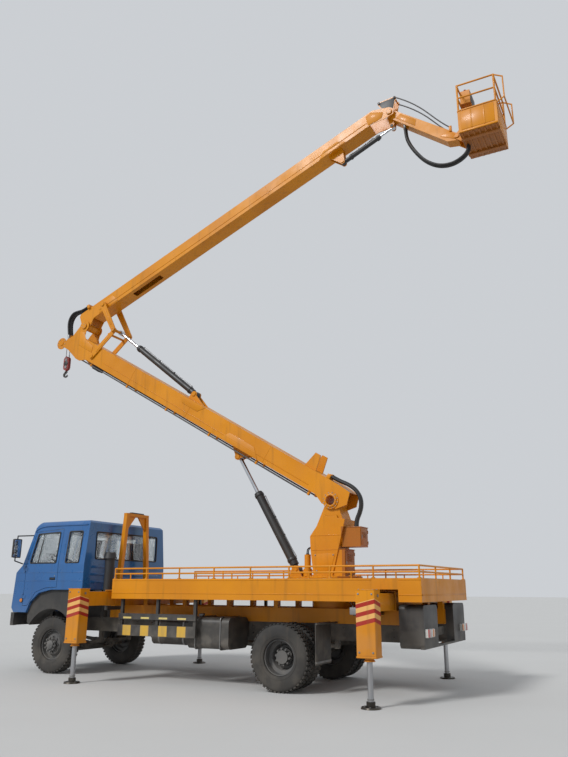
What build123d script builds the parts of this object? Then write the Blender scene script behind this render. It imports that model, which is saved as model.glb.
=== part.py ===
import os
from math import atan2, copysign, cos, degrees, hypot, pi, radians, sin

from build123d import *

# Truck-mounted aerial platform with a folding arm: every size is in millimetres.
# X points to the cab, Y to the driver's side, Z up; the ground is Z = 0.
os.makedirs("parts", exist_ok=True)

# Clearances
run_gap = 0.3
move_gap = 6

# Running gear
wheelbase = 4700
rear_axle_x = -1170
front_axle_x = rear_axle_x + wheelbase
tyre_radius = 480
tyre_width = 235
rim_radius = 254
hub_radius = 95
front_tyre_y = 922
rear_tyre_y = (760, 1062)
axle_z = tyre_radius
kingpin_y = 760
kingpin_radius = 24
stub_radius = 42
rear_tube_radius = 75
rear_stub_radius = 55
rear_hub_depth = 110

# Chassis rails and the frame on top of them
rail_bottom_z = 700
rail_height = 240
rail_flange = 75
rail_wall = 10
tie_half = 12
rail_outer_y = 430
chassis_rear_x = rear_axle_x - 2080
chassis_front_x = rear_axle_x + 5450
subframe_front_x = rear_axle_x + 3900
subframe_height = 220
subframe_wall = 90
subframe_z = rail_bottom_z + rail_height

# Deck
deck_front_x = rear_axle_x + 3215
deck_rear_x = rear_axle_x - 2230
deck_half_width = 1210
deck_top_z = 1600
deck_plate = 10
skirt_height = 320
skirt_wall = 12
skirt_lip = 60
notch_height = 155
rail_tube_radius = 13
guard_rail_height = 170

# Outriggers: fixed cross boxes, sliding beams, upright legs and jacks
outrigger_x = (rear_axle_x + 3410, rear_axle_x - 1670)
cross_box_z = subframe_z + subframe_height
cross_box = (240, 260)
cross_wall = 10
cross_half_length = 1020
beam_size = (210, 225)
beam_inner_y = 665
leg_size = (270, 220)
leg_wall = 10
leg_y = 1780
leg_bottom_z = 600
leg_top_z = 1440
leg_travel = 630
jack_radius = 38
jack_travel = 420
foot_radius = 130
foot_height = 22

# Cab
cab_rear_x = rear_axle_x + 3950
cab_half_width = 1150
cab_wall = 45
cab_floor_z = 1420
cab_nose_x = rear_axle_x + 5280
cab_nose_z = 1020
cab_roof_z = 2640
belt_z = 1860
roof_lean = 90
door_front_x = rear_axle_x + 5400
door_rear_x = rear_axle_x + 4570
glass_wall = 6

# Slewing column
slew_x = rear_axle_x - 410
slew_ring_radius = 430
slew_gap_z = 1615
turret_plate = 26
column_half_width = 220
head_half_width = 180
luff_pivot = (rear_axle_x - 450, 2850)
pivot_tube_radius = 100
luff_foot = (rear_axle_x + 280, 1760)

# Folding arm as parked in the raised pose: angles are measured up from the truck's front
lower_angle = 30.9
lower_half_width = 212
lower_plate = 10
lower_top = (290, 292)
lower_bottom = (-42, -100)
lower_straight = 6950
elbow_at = (7120, 520)
nose_at = (7510, -67)
nose_radius = 130
luff_lug_at = (2100, -195)

upper_angle = 157.6
upper_half_width = 165
upper_root_heights = (86, 372)
upper_tip_heights = (70, 330)
knuckle_at = (7755, 73)

jib_angle = 216.9
jib_length = 1500
jib_half_width = 100

# Linkage that folds the elbow, in the lower arm's own lengthways and upward sizes
rocker_foot_at = (6480, 30)
link_pin_at = (6225, 758)
link_root_at = (6862, 1130)
fold_foot_at = (3660, 400)

# Basket
basket_size = (660, 850, 980)
basket_floor_z = 8900
basket_front_x = rear_axle_x - 3050


def along(point, angle, run, rise=0):
    """Point in the side view that lies run along a direction and rise square to it."""
    c, s = cos(radians(angle)), sin(radians(angle))
    return (point[0] + run * c - rise * s, point[1] + run * s + rise * c)


def bearing(start, end):
    """Angle of the line between two side-view points."""
    return degrees(atan2(end[1] - start[1], end[0] - start[0]))


def span(start, end):
    """Distance between two side-view points."""
    return hypot(end[0] - start[0], end[1] - start[1])


elbow = along(luff_pivot, lower_angle, *elbow_at)
nose = along(luff_pivot, lower_angle, *nose_at)
luff_lug = along(luff_pivot, lower_angle, *luff_lug_at)
knuckle = along(elbow, upper_angle, knuckle_at[0], -knuckle_at[1])
basket_pivot = along(knuckle, jib_angle, jib_length)
rocker_foot = along(luff_pivot, lower_angle, *rocker_foot_at)
link_pin = along(luff_pivot, lower_angle, *link_pin_at)
link_root = along(luff_pivot, lower_angle, *link_root_at)
fold_foot = along(luff_pivot, lower_angle, *fold_foot_at)
# the jib's own cylinder, in the upper arm's lengthways and downward sizes
jib_foot_at = (6560, 175)
jib_lug_at = (7670, 154)
jib_foot = along(elbow, upper_angle, *jib_foot_at)
jib_lug = along(elbow, upper_angle, *jib_lug_at)


def side_plane(point=(0, 0), angle=0):
    """Side-view plane: local x runs at the angle, local y is square to it, normal is -Y."""
    c, s = cos(radians(angle)), sin(radians(angle))
    return Plane(origin=(point[0], 0, point[1]), x_dir=(c, 0, s), z_dir=(0, -1, 0))


def slab(outline, plane, low, high):
    """Straight-sided plate between two heights over a plane."""
    with BuildPart() as body:
        with BuildSketch(plane.offset(low)):
            with BuildLine():
                Polyline(*outline, close=True)
            make_face()
        extrude(amount=high - low)
    return body.part


def set_in(outline, gap):
    """Straight-sided outline with every edge moved inwards by the gap."""
    nexts = outline[1:] + outline[:1]
    turn = copysign(gap, sum(p[0] * q[1] - q[0] * p[1] for p, q in zip(outline, nexts)))
    normals = []
    for p, q in zip(outline, nexts):
        length = hypot(q[0] - p[0], q[1] - p[1])
        normals.append(((p[1] - q[1]) / length, (q[0] - p[0]) / length))
    moved = []
    for index, (x, y) in enumerate(outline):
        a, b = normals[index - 1], normals[index]
        scale = turn / (1 + a[0] * b[0] + a[1] * b[1])
        moved.append((x + (a[0] + b[0]) * scale, y + (a[1] + b[1]) * scale))
    return moved


def slab_pair(outline, plane, inner, outer):
    """The same plate on both sides of the middle plane."""
    with BuildPart() as body:
        add(slab(outline, plane, inner, outer))
        add(slab(outline, plane, -outer, -inner))
    return body.part


def rod(plane, centre, radius, low, high):
    """Round bar square to a plane."""
    with BuildPart() as body:
        with BuildSketch(plane.offset(low)):
            with Locations(centre):
                Circle(radius)
        extrude(amount=high - low)
    return body.part


def block(x, y, z):
    """Box given by its low and high edges along each axis."""
    with BuildPart() as body:
        with Locations(((x[0] + x[1]) / 2, (y[0] + y[1]) / 2, (z[0] + z[1]) / 2)):
            Box(x[1] - x[0], y[1] - y[0], z[1] - z[0])
    return body.part


def bar(start, end, radius):
    """Round bar between two points."""
    direction = Vector(*end) - Vector(*start)
    with BuildPart() as body:
        with BuildSketch(Plane(origin=start, z_dir=direction)):
            Circle(radius)
        extrude(amount=direction.length)
    return body.part


def tyre_ring(y):
    """One tyre about the Y axis, at its own place across the truck."""
    half = tyre_width / 2
    with BuildPart() as ring:
        with BuildSketch(Plane.XY):
            with BuildLine():
                Polyline(
                    (rim_radius, -half * 0.62), (rim_radius + 60, -half * 0.92), (rim_radius + 110, -half),
                    (tyre_radius - 45, -half * 0.97), (tyre_radius - 12, -half * 0.84), (tyre_radius, -half * 0.7),
                    (tyre_radius, half * 0.7), (tyre_radius - 12, half * 0.84), (tyre_radius - 45, half * 0.97),
                    (rim_radius + 110, half), (rim_radius + 60, half * 0.92), (rim_radius, half * 0.62), close=True,
                )
            make_face()
        revolve(axis=Axis.Y)
    return ring.part.moved(Location((0, y, 0)))


def wheel_rim(tyre_y, face_y, dish, bore_radius):
    """Rim barrel with its disc, which leaves the hub at face_y and meets the barrel at face_y + dish."""
    half = tyre_width / 2 * 0.62
    thick = copysign(16, dish)
    with BuildPart() as rim:
        with BuildSketch(Plane.XY):
            with Locations((rim_radius - 7 - run_gap, tyre_y)):
                Rectangle(14, 2 * half)
            with BuildLine():
                Polyline(
                    (bore_radius, face_y), (hub_radius + 70, face_y), (rim_radius - 60, face_y + dish * 0.85),
                    (rim_radius - 8, face_y + dish), (rim_radius - 8, face_y + dish + thick),
                    (rim_radius - 64, face_y + dish * 0.85 + thick), (hub_radius + 66, face_y + thick),
                    (bore_radius, face_y + thick), close=True,
                )
            make_face()
        revolve(axis=Axis.Y)
    return rim.part


def placed(solid, x):
    """Wheel piece moved from the origin to its axle."""
    return solid.moved(Location((x, 0, axle_z)))


wheels = {}
for side_name, side in (("left", 1), ("right", -1)):
    with BuildPart() as front_tyre:
        add(placed(tyre_ring(side * front_tyre_y), front_axle_x))
    with BuildPart() as front_rim:
        face = side * (front_tyre_y + 53)
        add(placed(wheel_rim(side * front_tyre_y, face, -side * 50, stub_radius + run_gap), front_axle_x))
        add(rod(Plane.XZ, (front_axle_x, axle_z), hub_radius, -face - side * 50, -face + side * 109))
        cut = rod(Plane.XZ, (front_axle_x, axle_z), stub_radius + run_gap, -face - side * 20, -face + side * 110)
        add(cut, mode=Mode.SUBTRACT)
        with BuildSketch(Plane.XZ.offset(-face)):
            with Locations((front_axle_x, axle_z)):
                with PolarLocations(hub_radius + 38, 8):
                    Circle(12)
        extrude(amount=-22 * side)
    with BuildPart() as rear_tyre:
        for y in rear_tyre_y:
            add(placed(tyre_ring(side * y), rear_axle_x))
    with BuildPart() as rear_rim:
        middle = side * (sum(rear_tyre_y) / 2)
        for y, turn in zip(rear_tyre_y, (-side, side)):
            rim = wheel_rim(side * y, middle, turn * 90, rear_stub_radius + run_gap)
            add(placed(rim, rear_axle_x))
        add(rod(Plane.XZ, (rear_axle_x, axle_z), hub_radius + 30, -middle - side * 60, -middle + side * 40))
        add(rod(Plane.XZ, (rear_axle_x, axle_z), hub_radius, -middle - side * 150, -middle - side * 60))
        cut = rod(Plane.XZ, (rear_axle_x, axle_z), rear_stub_radius + run_gap, -middle - side * rear_hub_depth,
                  -middle + side * 40)
        add(cut, mode=Mode.SUBTRACT)
    wheels[f"tyre_front_{side_name}"] = front_tyre
    wheels[f"rim_front_{side_name}"] = front_rim
    wheels[f"tyre_rear_{side_name}"] = rear_tyre
    wheels[f"rim_rear_{side_name}"] = rear_rim

# Steering knuckles
knuckles = {}
knuckle_eye_half = 55
for side_name, side in (("left", 1), ("right", -1)):
    with BuildPart() as steering_knuckle:
        king = side * kingpin_y
        for low, high in ((-knuckle_eye_half - 42, -knuckle_eye_half - run_gap),
                          (knuckle_eye_half + run_gap, knuckle_eye_half + 42)):
            with BuildSketch(Plane.XY.offset(axle_z + low)):
                with Locations((front_axle_x, king)):
                    Circle(46)
            extrude(amount=high - low)
        with BuildSketch(Plane.XY.offset(axle_z - knuckle_eye_half - 42)):
            with Locations((front_axle_x, king + side * 66)):
                Rectangle(92, 24)
        extrude(amount=2 * (knuckle_eye_half + 42))
        for low in (-knuckle_eye_half - 42, knuckle_eye_half + run_gap):
            add(block((front_axle_x - 46, front_axle_x + 46), sorted((king, king + side * 60)),
                      (axle_z + low, axle_z + low + 42 - run_gap)))
        add(rod(Plane.XZ, (front_axle_x, axle_z), stub_radius, *sorted((-king - side * 70, -king - side * 225))))
        with BuildSketch(Plane.XY.offset(axle_z - knuckle_eye_half - 60)):
            with Locations((front_axle_x, king)):
                Circle(kingpin_radius + run_gap)
        extrude(amount=2 * (knuckle_eye_half + 60), mode=Mode.SUBTRACT)
    knuckles[f"knuckle_{side_name}"] = steering_knuckle

# Front axle: dropped forged beam with its king pins and leaf springs
spring_y = 380
spring_half = 40
with BuildPart() as front_axle:
    with BuildSketch(Plane.YZ.offset(front_axle_x)):
        with BuildLine():
            Polyline(
                (-kingpin_y, axle_z - knuckle_eye_half), (-kingpin_y, axle_z + knuckle_eye_half),
                (-kingpin_y + 60, axle_z + knuckle_eye_half), (-kingpin_y + 210, axle_z - 40),
                (kingpin_y - 210, axle_z - 40), (kingpin_y - 60, axle_z + knuckle_eye_half),
                (kingpin_y, axle_z + knuckle_eye_half), (kingpin_y, axle_z - knuckle_eye_half),
                (kingpin_y - 60, axle_z - knuckle_eye_half), (kingpin_y - 210, axle_z - 140),
                (-kingpin_y + 210, axle_z - 140), (-kingpin_y + 60, axle_z - knuckle_eye_half), close=True,
            )
        make_face()
    extrude(amount=42, both=True)
    for king in (kingpin_y, -kingpin_y):
        add(rod(Plane.XY, (front_axle_x, king), 42, axle_z - knuckle_eye_half, axle_z + knuckle_eye_half))
        add(rod(Plane.XY, (front_axle_x, king), kingpin_radius, axle_z - knuckle_eye_half - 40,
                axle_z + knuckle_eye_half + 40))

# Rear axle: banjo housing with its tubes, and the propeller shaft
with BuildPart() as rear_axle:
    stub_end = sum(rear_tyre_y) / 2 + rear_hub_depth - 10
    add(bar((rear_axle_x, -stub_end, axle_z), (rear_axle_x, stub_end, axle_z), rear_stub_radius))
    tube_end = rear_tyre_y[0] - tyre_width / 2 - 15
    add(bar((rear_axle_x, -tube_end, axle_z), (rear_axle_x, tube_end, axle_z), rear_tube_radius))
    with Locations((rear_axle_x, 0, axle_z)):
        Sphere(185)
    add(bar((rear_axle_x + 100, 0, axle_z + 20), (rear_axle_x + 330, 0, axle_z + 40), 70))
    shaft_end = (rear_axle_x + 3900, 0, rail_bottom_z + 20)
    add(bar((rear_axle_x + 320, 0, axle_z + 40), shaft_end, 42))

# Leaf springs, front and rear, each pack an arc of leaves clamped on its axle
springs_table = (  # axle x, half length, sag, pack thickness, underside over the axle
    (front_axle_x, 620, 90, 70, axle_z - 40),
    (rear_axle_x, 640, 50, 110, axle_z + rear_tube_radius),
)
with BuildPart() as leaf_springs:
    for axle_x, half_length, sag, thick, seat_z in springs_table:
        base = seat_z + run_gap
        for y in (spring_y, -spring_y):
            with BuildSketch(side_plane().offset(-y - spring_half)):
                with BuildLine():
                    low = ThreePointArc((axle_x - half_length, base + sag), (axle_x, base),
                                        (axle_x + half_length, base + sag))
                    high = ThreePointArc((axle_x - half_length, base + sag + 24), (axle_x, base + thick),
                                         (axle_x + half_length, base + sag + 24))
                    Line(low @ 0, high @ 0)
                    Line(low @ 1, high @ 1)
                make_face()
            extrude(amount=2 * spring_half)
            for end in (-1, 1):
                hanger_x = axle_x + end * (half_length - 35)
                add(block((hanger_x - 30, hanger_x + 30), (y - spring_half, y + spring_half),
                          (base + sag - 30, rail_bottom_z - run_gap)))

# Chassis: two channel rails tied by cross members
with BuildPart() as chassis_frame:
    rail_top_z = rail_bottom_z + rail_height
    for side in (1, -1):
        web = rail_outer_y - rail_wall
        inner = rail_outer_y - rail_flange
        channel = [
            (side * rail_outer_y, rail_bottom_z), (side * inner, rail_bottom_z),
            (side * inner, rail_bottom_z + rail_wall), (side * web, rail_bottom_z + rail_wall),
            (side * web, rail_top_z - rail_wall), (side * inner, rail_top_z - rail_wall),
            (side * inner, rail_top_z), (side * rail_outer_y, rail_top_z),
        ]
        add(slab(channel, Plane.YZ, chassis_rear_x, chassis_front_x))
    for run in (-2040, -900, 900, 2250, 3450, 5400):
        tie_x = rear_axle_x + run
        add(block((tie_x - tie_half, tie_x + tie_half), (-rail_outer_y + rail_wall, rail_outer_y - rail_wall),
                  (rail_bottom_z + 90, rail_top_z - 30)))
    # posts that carry the cab at its rear floor and under its nose
    for x_range, top in (((cab_rear_x + 110, cab_rear_x + 190), cab_floor_z), ((cab_nose_x + 50, cab_nose_x + 120), cab_nose_z)):
        for side in (1, -1):
            y_range = sorted((side * (rail_outer_y - 60), side * rail_outer_y))
            add(block(x_range, y_range, (rail_top_z - rail_wall, top - run_gap)))

# Subframe with the two hollow cross boxes that carry the outrigger beams
with BuildPart() as subframe:
    for side in (1, -1):
        y_range = sorted((side * (rail_outer_y - subframe_wall), side * rail_outer_y))
        add(block((chassis_rear_x, subframe_front_x), y_range, (subframe_z, cross_box_z)))
        y_range = (y_range[0] + rail_wall, y_range[1] - rail_wall)
        add(block((chassis_rear_x, subframe_front_x), y_range, (subframe_z + rail_wall, cross_box_z - rail_wall)),
            mode=Mode.SUBTRACT)
    for run in (-1800, -900, 0, 900, 1800, 2700, 3800):
        tie_x = rear_axle_x + run
        add(block((tie_x - tie_half, tie_x + tie_half), (-rail_outer_y + subframe_wall, rail_outer_y - subframe_wall),
                  (subframe_z + 40, cross_box_z - 20)))
    for x in outrigger_x:
        half_x = cross_box[0] / 2
        add(block((x - half_x, x + half_x), (-cross_half_length, cross_half_length),
                  (cross_box_z, cross_box_z + cross_box[1])))
        add(block((x - half_x + cross_wall, x + half_x - cross_wall), (-cross_half_length, cross_half_length),
                  (cross_box_z + cross_wall, cross_box_z + cross_box[1] - cross_wall)), mode=Mode.SUBTRACT)
    # pedestal that carries the slewing ring through the deck
    with BuildPart(mode=Mode.PRIVATE) as pedestal:
        add(rod(Plane.XY, (slew_x, 0), slew_ring_radius - 60, subframe_z + 40, slew_gap_z - 90))
        add(rod(Plane.XY, (slew_x, 0), slew_ring_radius, slew_gap_z - 95, slew_gap_z))
        add(rod(Plane.XY, (slew_x, 0), slew_ring_radius - 85, subframe_z, slew_gap_z - turret_plate),
            mode=Mode.SUBTRACT)
    add(pedestal.part)
    # cross bearers under the deck
    bearer_top = deck_top_z - deck_plate - run_gap
    for run in (-2030, -1100, 450, 1350, 2250, 3100):
        tie_x = rear_axle_x + run
        add(block((tie_x - 40, tie_x + 40), (-deck_half_width + 60, deck_half_width - 60),
                  (bearer_top - 120, bearer_top)))
        for side in (1, -1):
            bay = sorted((side * (rail_outer_y + 30), side * deck_half_width))
            add(block((tie_x - 30, tie_x + 30), bay, (bearer_top - 110, bearer_top - 10)), mode=Mode.SUBTRACT)
            y_range = sorted((side * (rail_outer_y - subframe_wall), side * rail_outer_y))
            add(block((tie_x - 40, tie_x + 40), y_range, (cross_box_z, bearer_top - 120)))

# Deck: plate with folded skirts, notched where the rear legs draw in
with BuildPart() as deck:
    plate_z = deck_top_z - deck_plate
    skirt_z = deck_top_z - skirt_height
    add(block((deck_rear_x, deck_front_x), (-deck_half_width, deck_half_width), (plate_z, deck_top_z)))
    for side in (1, -1):
        outer = side * deck_half_width
        add(block((deck_rear_x, deck_front_x), sorted((outer, outer - side * skirt_wall)), (skirt_z, plate_z)))
        add(block((deck_rear_x, deck_front_x), sorted((outer, outer - side * skirt_lip)),
                  (skirt_z, skirt_z + skirt_wall)))
    for end_x, turn in ((deck_rear_x, 1), (deck_front_x, -1)):
        inside = (-deck_half_width + skirt_wall, deck_half_width - skirt_wall)
        add(block(sorted((end_x, end_x + turn * skirt_wall)), inside, (skirt_z, plate_z)))
    notch_x = (outrigger_x[1] - 225, outrigger_x[1] + leg_size[0] / 2 + 20)
    notch_z = deck_top_z - skirt_height + notch_height + 12
    for side in (1, -1):
        add(block(notch_x, sorted((side * (deck_half_width - skirt_lip - 5), side * (deck_half_width + 5))),
                  (skirt_z - 5, notch_z)), mode=Mode.SUBTRACT)
        add(block(notch_x, sorted((side * (deck_half_width - skirt_lip), side * (deck_half_width - skirt_wall))),
                  (notch_z, notch_z + skirt_wall)))
    with BuildSketch(Plane.XY.offset(plate_z - 5)):
        with Locations((slew_x, 0)):
            Circle(slew_ring_radius + 25)
    extrude(amount=deck_plate + 10, mode=Mode.SUBTRACT)

# Low guard rail round the deck
post_pitch = 640
with BuildPart() as deck_rails:
    rail_y = deck_half_width - 30
    rail_x = (deck_rear_x + 30, deck_front_x - 30)
    seat_z = deck_top_z + run_gap
    for height in (guard_rail_height, guard_rail_height * 0.5):
        z = deck_top_z + height
        for side in (1, -1):
            add(bar((rail_x[0], side * rail_y, z), (rail_x[1], side * rail_y, z), rail_tube_radius))
        add(bar((rail_x[0], -rail_y, z), (rail_x[0], rail_y, z), rail_tube_radius))
        for x in rail_x:
            for side in (1, -1):
                with Locations((x, side * rail_y, z)):
                    Sphere(rail_tube_radius)
    post_count = round((rail_x[1] - rail_x[0]) / post_pitch)
    pitch = (rail_x[1] - rail_x[0]) / post_count
    for side in (1, -1):
        for index in range(post_count + 1):
            x = rail_x[0] + index * pitch
            top = deck_top_z + guard_rail_height
            add(bar((x, side * rail_y, seat_z), (x, side * rail_y, top), rail_tube_radius))
            if index < post_count:
                middle = x + pitch / 2
                add(bar((middle, side * rail_y, seat_z), (middle, side * rail_y, deck_top_z + guard_rail_height * 0.5),
                        rail_tube_radius * 0.8))
    for y in (-rail_y / 3, rail_y / 3):
        add(bar((rail_x[0], y, seat_z), (rail_x[0], y, deck_top_z + guard_rail_height), rail_tube_radius))

# Boom rest: two leaning legs with a head beam and gussets, between cab and deck
rest_x = rear_axle_x + 3780
rest_top_z = 2825
rest_foot_y = 385
rest_head_y = 245
rest_tube = 80
with BuildPart() as boom_rest:
    foot_z = cross_box_z + run_gap
    head_z = rest_top_z - 60
    for side in (1, -1):
        leg = [
            (side * rest_foot_y, foot_z), (side * (rest_foot_y + rest_tube), foot_z),
            (side * (rest_head_y + rest_tube), head_z), (side * rest_head_y, head_z),
        ]
        add(slab(leg, Plane.YZ, rest_x - rest_tube / 2, rest_x + rest_tube / 2))
        gusset = [
            (side * 40, head_z), (side * (rest_head_y + 10), head_z),
            (side * (rest_head_y + 45), head_z - 270), (side * (rest_head_y + 30), head_z - 270),
        ]
        add(slab(gusset, Plane.YZ, rest_x - 12, rest_x + 12))
    reach = rest_head_y + rest_tube
    add(block((rest_x - rest_tube / 2, rest_x + rest_tube / 2), (-reach, reach), (head_z, rest_top_z)))

# Outrigger legs and jacks
outriggers = {}
corners = [
    (f"{end}_{side_name}", x, side)
    for end, x in zip(("front", "rear"), outrigger_x)
    for side_name, side in (("left", 1), ("right", -1))
]
for name, x, side in corners:
    with BuildPart() as leg:
        half_x, half_y = leg_size[0] / 2, leg_size[1] / 2
        y_mid = side * leg_y
        add(block((x - half_x, x + half_x), (y_mid - half_y, y_mid + half_y), (leg_bottom_z, leg_top_z)))
        fillet(leg.edges().filter_by(Axis.Z), 14)
        add(block((x - half_x + leg_wall, x + half_x - leg_wall), (y_mid - half_y + leg_wall, y_mid + half_y - leg_wall),
                  (leg_bottom_z + 40, leg_top_z - leg_wall)), mode=Mode.SUBTRACT)
        beam_low = cross_box_z + cross_wall + run_gap
        beam_range = sorted((side * beam_inner_y, side * (leg_y - leg_size[1] / 2)))
        add(block((x - beam_size[0] / 2, x + beam_size[0] / 2), beam_range, (beam_low, beam_low + beam_size[1])))
        add(rod(Plane.XY, (x, y_mid), jack_radius + 22, leg_bottom_z - 45, leg_bottom_z))
        add(rod(Plane.XY, (x, y_mid), jack_radius + run_gap, leg_bottom_z - 50, leg_bottom_z + 45), mode=Mode.SUBTRACT)
    with BuildPart() as jack:
        add(rod(Plane.XY, (x, y_mid), jack_radius, foot_height, leg_top_z - leg_wall - jack_travel - 10))
        add(rod(Plane.XY, (x, y_mid), jack_radius + 20, foot_height, foot_height + 60))
        with BuildSketch(Plane.XY):
            with Locations((x, y_mid)):
                Circle(foot_radius)
        extrude(amount=foot_height, taper=20)
    outriggers[f"leg_{name}"] = leg
    outriggers[f"jack_{name}"] = jack

# Engine block under the cab, fuel tank, air reservoirs and battery box on the rails
with BuildPart() as engine_block:
    engine_x = (rear_axle_x + 4010, rear_axle_x + 4960)
    add(block(engine_x, (-330, 330), (730, 1345)))
    chamfer(engine_block.edges().filter_by(Axis.X), 60)
    for x in (engine_x[0] + 150, engine_x[1] - 150):
        foot_y = rail_outer_y - rail_wall - run_gap
        add(block((x - 40, x + 40), (-foot_y, foot_y), (rail_bottom_z + 60, rail_bottom_z + 160)))


def tank(x_range, y_range, z_range, roundness):
    """Closed box with rounded long edges and a thin wall."""
    with BuildPart() as shell:
        for inset, mode in ((0, Mode.ADD), (tank_wall, Mode.SUBTRACT)):
            with BuildPart(mode=mode) as layer:
                ranges = [(low + inset, high - inset) for low, high in (x_range, y_range, z_range)]
                add(block(*ranges))
                fillet(layer.edges().filter_by(Axis.X), roundness - inset)
    return shell.part


tank_wall = 6
tank_x = (rear_axle_x + 930, rear_axle_x + 1700)
tank_y = deck_half_width - 130
tank_top_z = 1010
with BuildPart() as side_tanks:
    add(tank(tank_x, (rail_outer_y + 60, tank_y), (540, tank_top_z), 90))
    for x in (tank_x[0] + 150, tank_x[1] - 150):
        add(block((x - 25, x + 25), (rail_outer_y + run_gap, rail_outer_y + 60), (rail_bottom_z + 20, 900)))
    add(tank((tank_x[0], tank_x[1] - 150), (-tank_y, -rail_outer_y - 60), (560, tank_top_z), 30))
    for x in (tank_x[0] + 120, tank_x[1] - 280):
        add(block((x - 25, x + 25), (-rail_outer_y - 60, -rail_outer_y - run_gap), (rail_bottom_z + 20, 900)))
    for z in (640, 860):
        add(bar((rear_axle_x + 1900, rail_outer_y + 190, z), (rear_axle_x + 2700, rail_outer_y + 190, z), 95))
        for x in (rear_axle_x + 2050, rear_axle_x + 2550):
            add(block((x - 20, x + 20), (rail_outer_y + run_gap, rail_outer_y + 130), (z + 70, z + 90)))

# Side guards: two long rails on posts under the skirt, both sides
guard_x = (rear_axle_x + 1480, rear_axle_x + 3050)
guard_y = deck_half_width - 45
guard_plate = 25
guard_rows = ((rail_bottom_z, rail_bottom_z + 170), (rail_bottom_z + 255, rail_bottom_z + 350))
with BuildPart() as side_guards:
    for side in (1, -1):
        face = sorted((side * guard_y, side * (guard_y + guard_plate)))
        for z in guard_rows:
            add(block(guard_x, face, z))
        for x in (guard_x[0] + 40, (guard_x[0] + guard_x[1]) / 2, guard_x[1] - 40):
            post_y = sorted((side * (guard_y - 45), side * guard_y))
            add(block((x - 25, x + 25), post_y, (guard_rows[0][0], deck_top_z - skirt_height - run_gap)))

# Boxes on both sides of the rails behind the rear wheels, joined by a strip under the rails
rear_box_x = (rear_axle_x - 2200, rear_axle_x - 1850)
rear_box_y = deck_half_width - 120
rear_box_z = (670, 1240)
with BuildPart() as rear_box:
    for y_range in ((rail_outer_y + run_gap, rear_box_y), (-rear_box_y, -rail_outer_y - run_gap)):
        add(tank(rear_box_x, y_range, rear_box_z, 60))
    add(block((rear_box_x[0], rear_box_x[0] + 60), (-rear_box_y, rear_box_y), (rear_box_z[0], rail_bottom_z - run_gap)))


def from_axle(points):
    """Side-view points measured forward of the rear axle."""
    return [(rear_axle_x + run, z) for run, z in points]


def up_plane(point, angle):
    """Side-view plane for a bar that points backwards: local y is still its upper side."""
    c, s = cos(radians(angle)), sin(radians(angle))
    return Plane(origin=(point[0], 0, point[1]), x_dir=(c, 0, s), z_dir=(0, 1, 0))


# Cab: one hull outline from the side and one from the front, both set in for the inner skin
cab_side = from_axle([
    (3950, cab_floor_z), (3950, 2600), (3990, cab_roof_z), (5180, cab_roof_z + 10), (5290, 2540), (5470, belt_z),
    (5620, 1720), (5660, 1100), (5600, cab_nose_z), (5280, cab_nose_z), (5200, 1200), (5000, 1360), (4700, cab_floor_z),
])
cab_front = [
    (-cab_half_width, 1000), (-cab_half_width, belt_z), (-cab_half_width + roof_lean, cab_roof_z + 10),
    (cab_half_width - roof_lean, cab_roof_z + 10), (cab_half_width, belt_z), (cab_half_width, 1000),
]
roof_round = 90


def cab_hull(inset):
    """Closed cab form, its whole skin moved inwards by the inset."""
    with BuildPart() as hull:
        add(slab(set_in(cab_side, inset), side_plane(), -cab_half_width, cab_half_width))
        with BuildSketch(Plane.YZ.offset(cab_rear_x - 10)) as outline:
            with BuildLine():
                Polyline(*set_in(cab_front, inset), close=True)
            make_face()
            fillet(outline.vertices().group_by(Axis.Y)[-1], roof_round - inset)
        extrude(amount=2000, mode=Mode.INTERSECT)
    return hull.part


def wall_y(depth, z):
    """Distance from the middle to a layer of the leaning side wall."""
    return cab_half_width - depth - roof_lean * (z - belt_z) / (cab_roof_z + 10 - belt_z)


def screen_x(depth, z):
    """Place along the truck of a layer of the raked windscreen."""
    return rear_axle_x + 5470 - depth - 180 * (z - belt_z) / (2540 - belt_z)


def side_layer(depth, thick, x_range):
    """Sheet that lies in both side walls above the belt."""
    with BuildPart() as sheet:
        for side in (1, -1):
            corners = [(side * wall_y(d, z), z) for d, z in (
                (depth, belt_z), (depth, cab_roof_z), (depth + thick, cab_roof_z), (depth + thick, belt_z))]
            add(slab(corners, Plane.YZ, *x_range))
    return sheet.part


door_outline = from_axle([
    (5380, 1840), (5250, 2460), (4570, 2500), (4570, 1460), (4850, 1445), (5080, 1372), (5262, 1136), (5380, 1130),
])
door_window = from_axle([(5290, 1890), (5195, 2420), (4640, 2440), (4640, 1890)])
quarter_window = from_axle([(4410, 1890), (4410, 2445), (4090, 2445), (4090, 1890)])
windscreen = [(-1010, 1905), (-945, 2480), (945, 2480), (1010, 1905)]
rear_window = [(-880, 1960), (-880, 2440), (880, 2440), (880, 1960)]
glass_depth = (cab_wall - glass_wall) / 2
wall_reach = (cab_half_width - 160, cab_half_width + 20)
cab_reach = (cab_rear_x - 20, rear_axle_x + 5700)
hinge_x = rear_axle_x + 5400
hinge_heights = (1290, 1780)
knuckle_radius = 10
knuckle_half = 28
handle_z = (1588, 1632)


def side_walls(start, depth, outline):
    """Part of both side walls that lies between two depths and within an outline."""
    with BuildPart() as walls:
        add(side_layer(start, depth - start, cab_reach))
        add(slab_pair([(cab_reach[0], cab_nose_z), (cab_reach[1], cab_nose_z), (cab_reach[1], belt_z),
                       (cab_reach[0], belt_z)], side_plane(), cab_half_width - depth, cab_half_width - start))
        add(slab(outline, side_plane(), -cab_half_width - 20, cab_half_width + 20), mode=Mode.INTERSECT)
    return walls.part


def hinge_bar(side, radius, low, high):
    """Round bar on a door's hinge line."""
    return rod(Plane.XY, (hinge_x, side * cab_half_width), radius, low, high)


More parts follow.
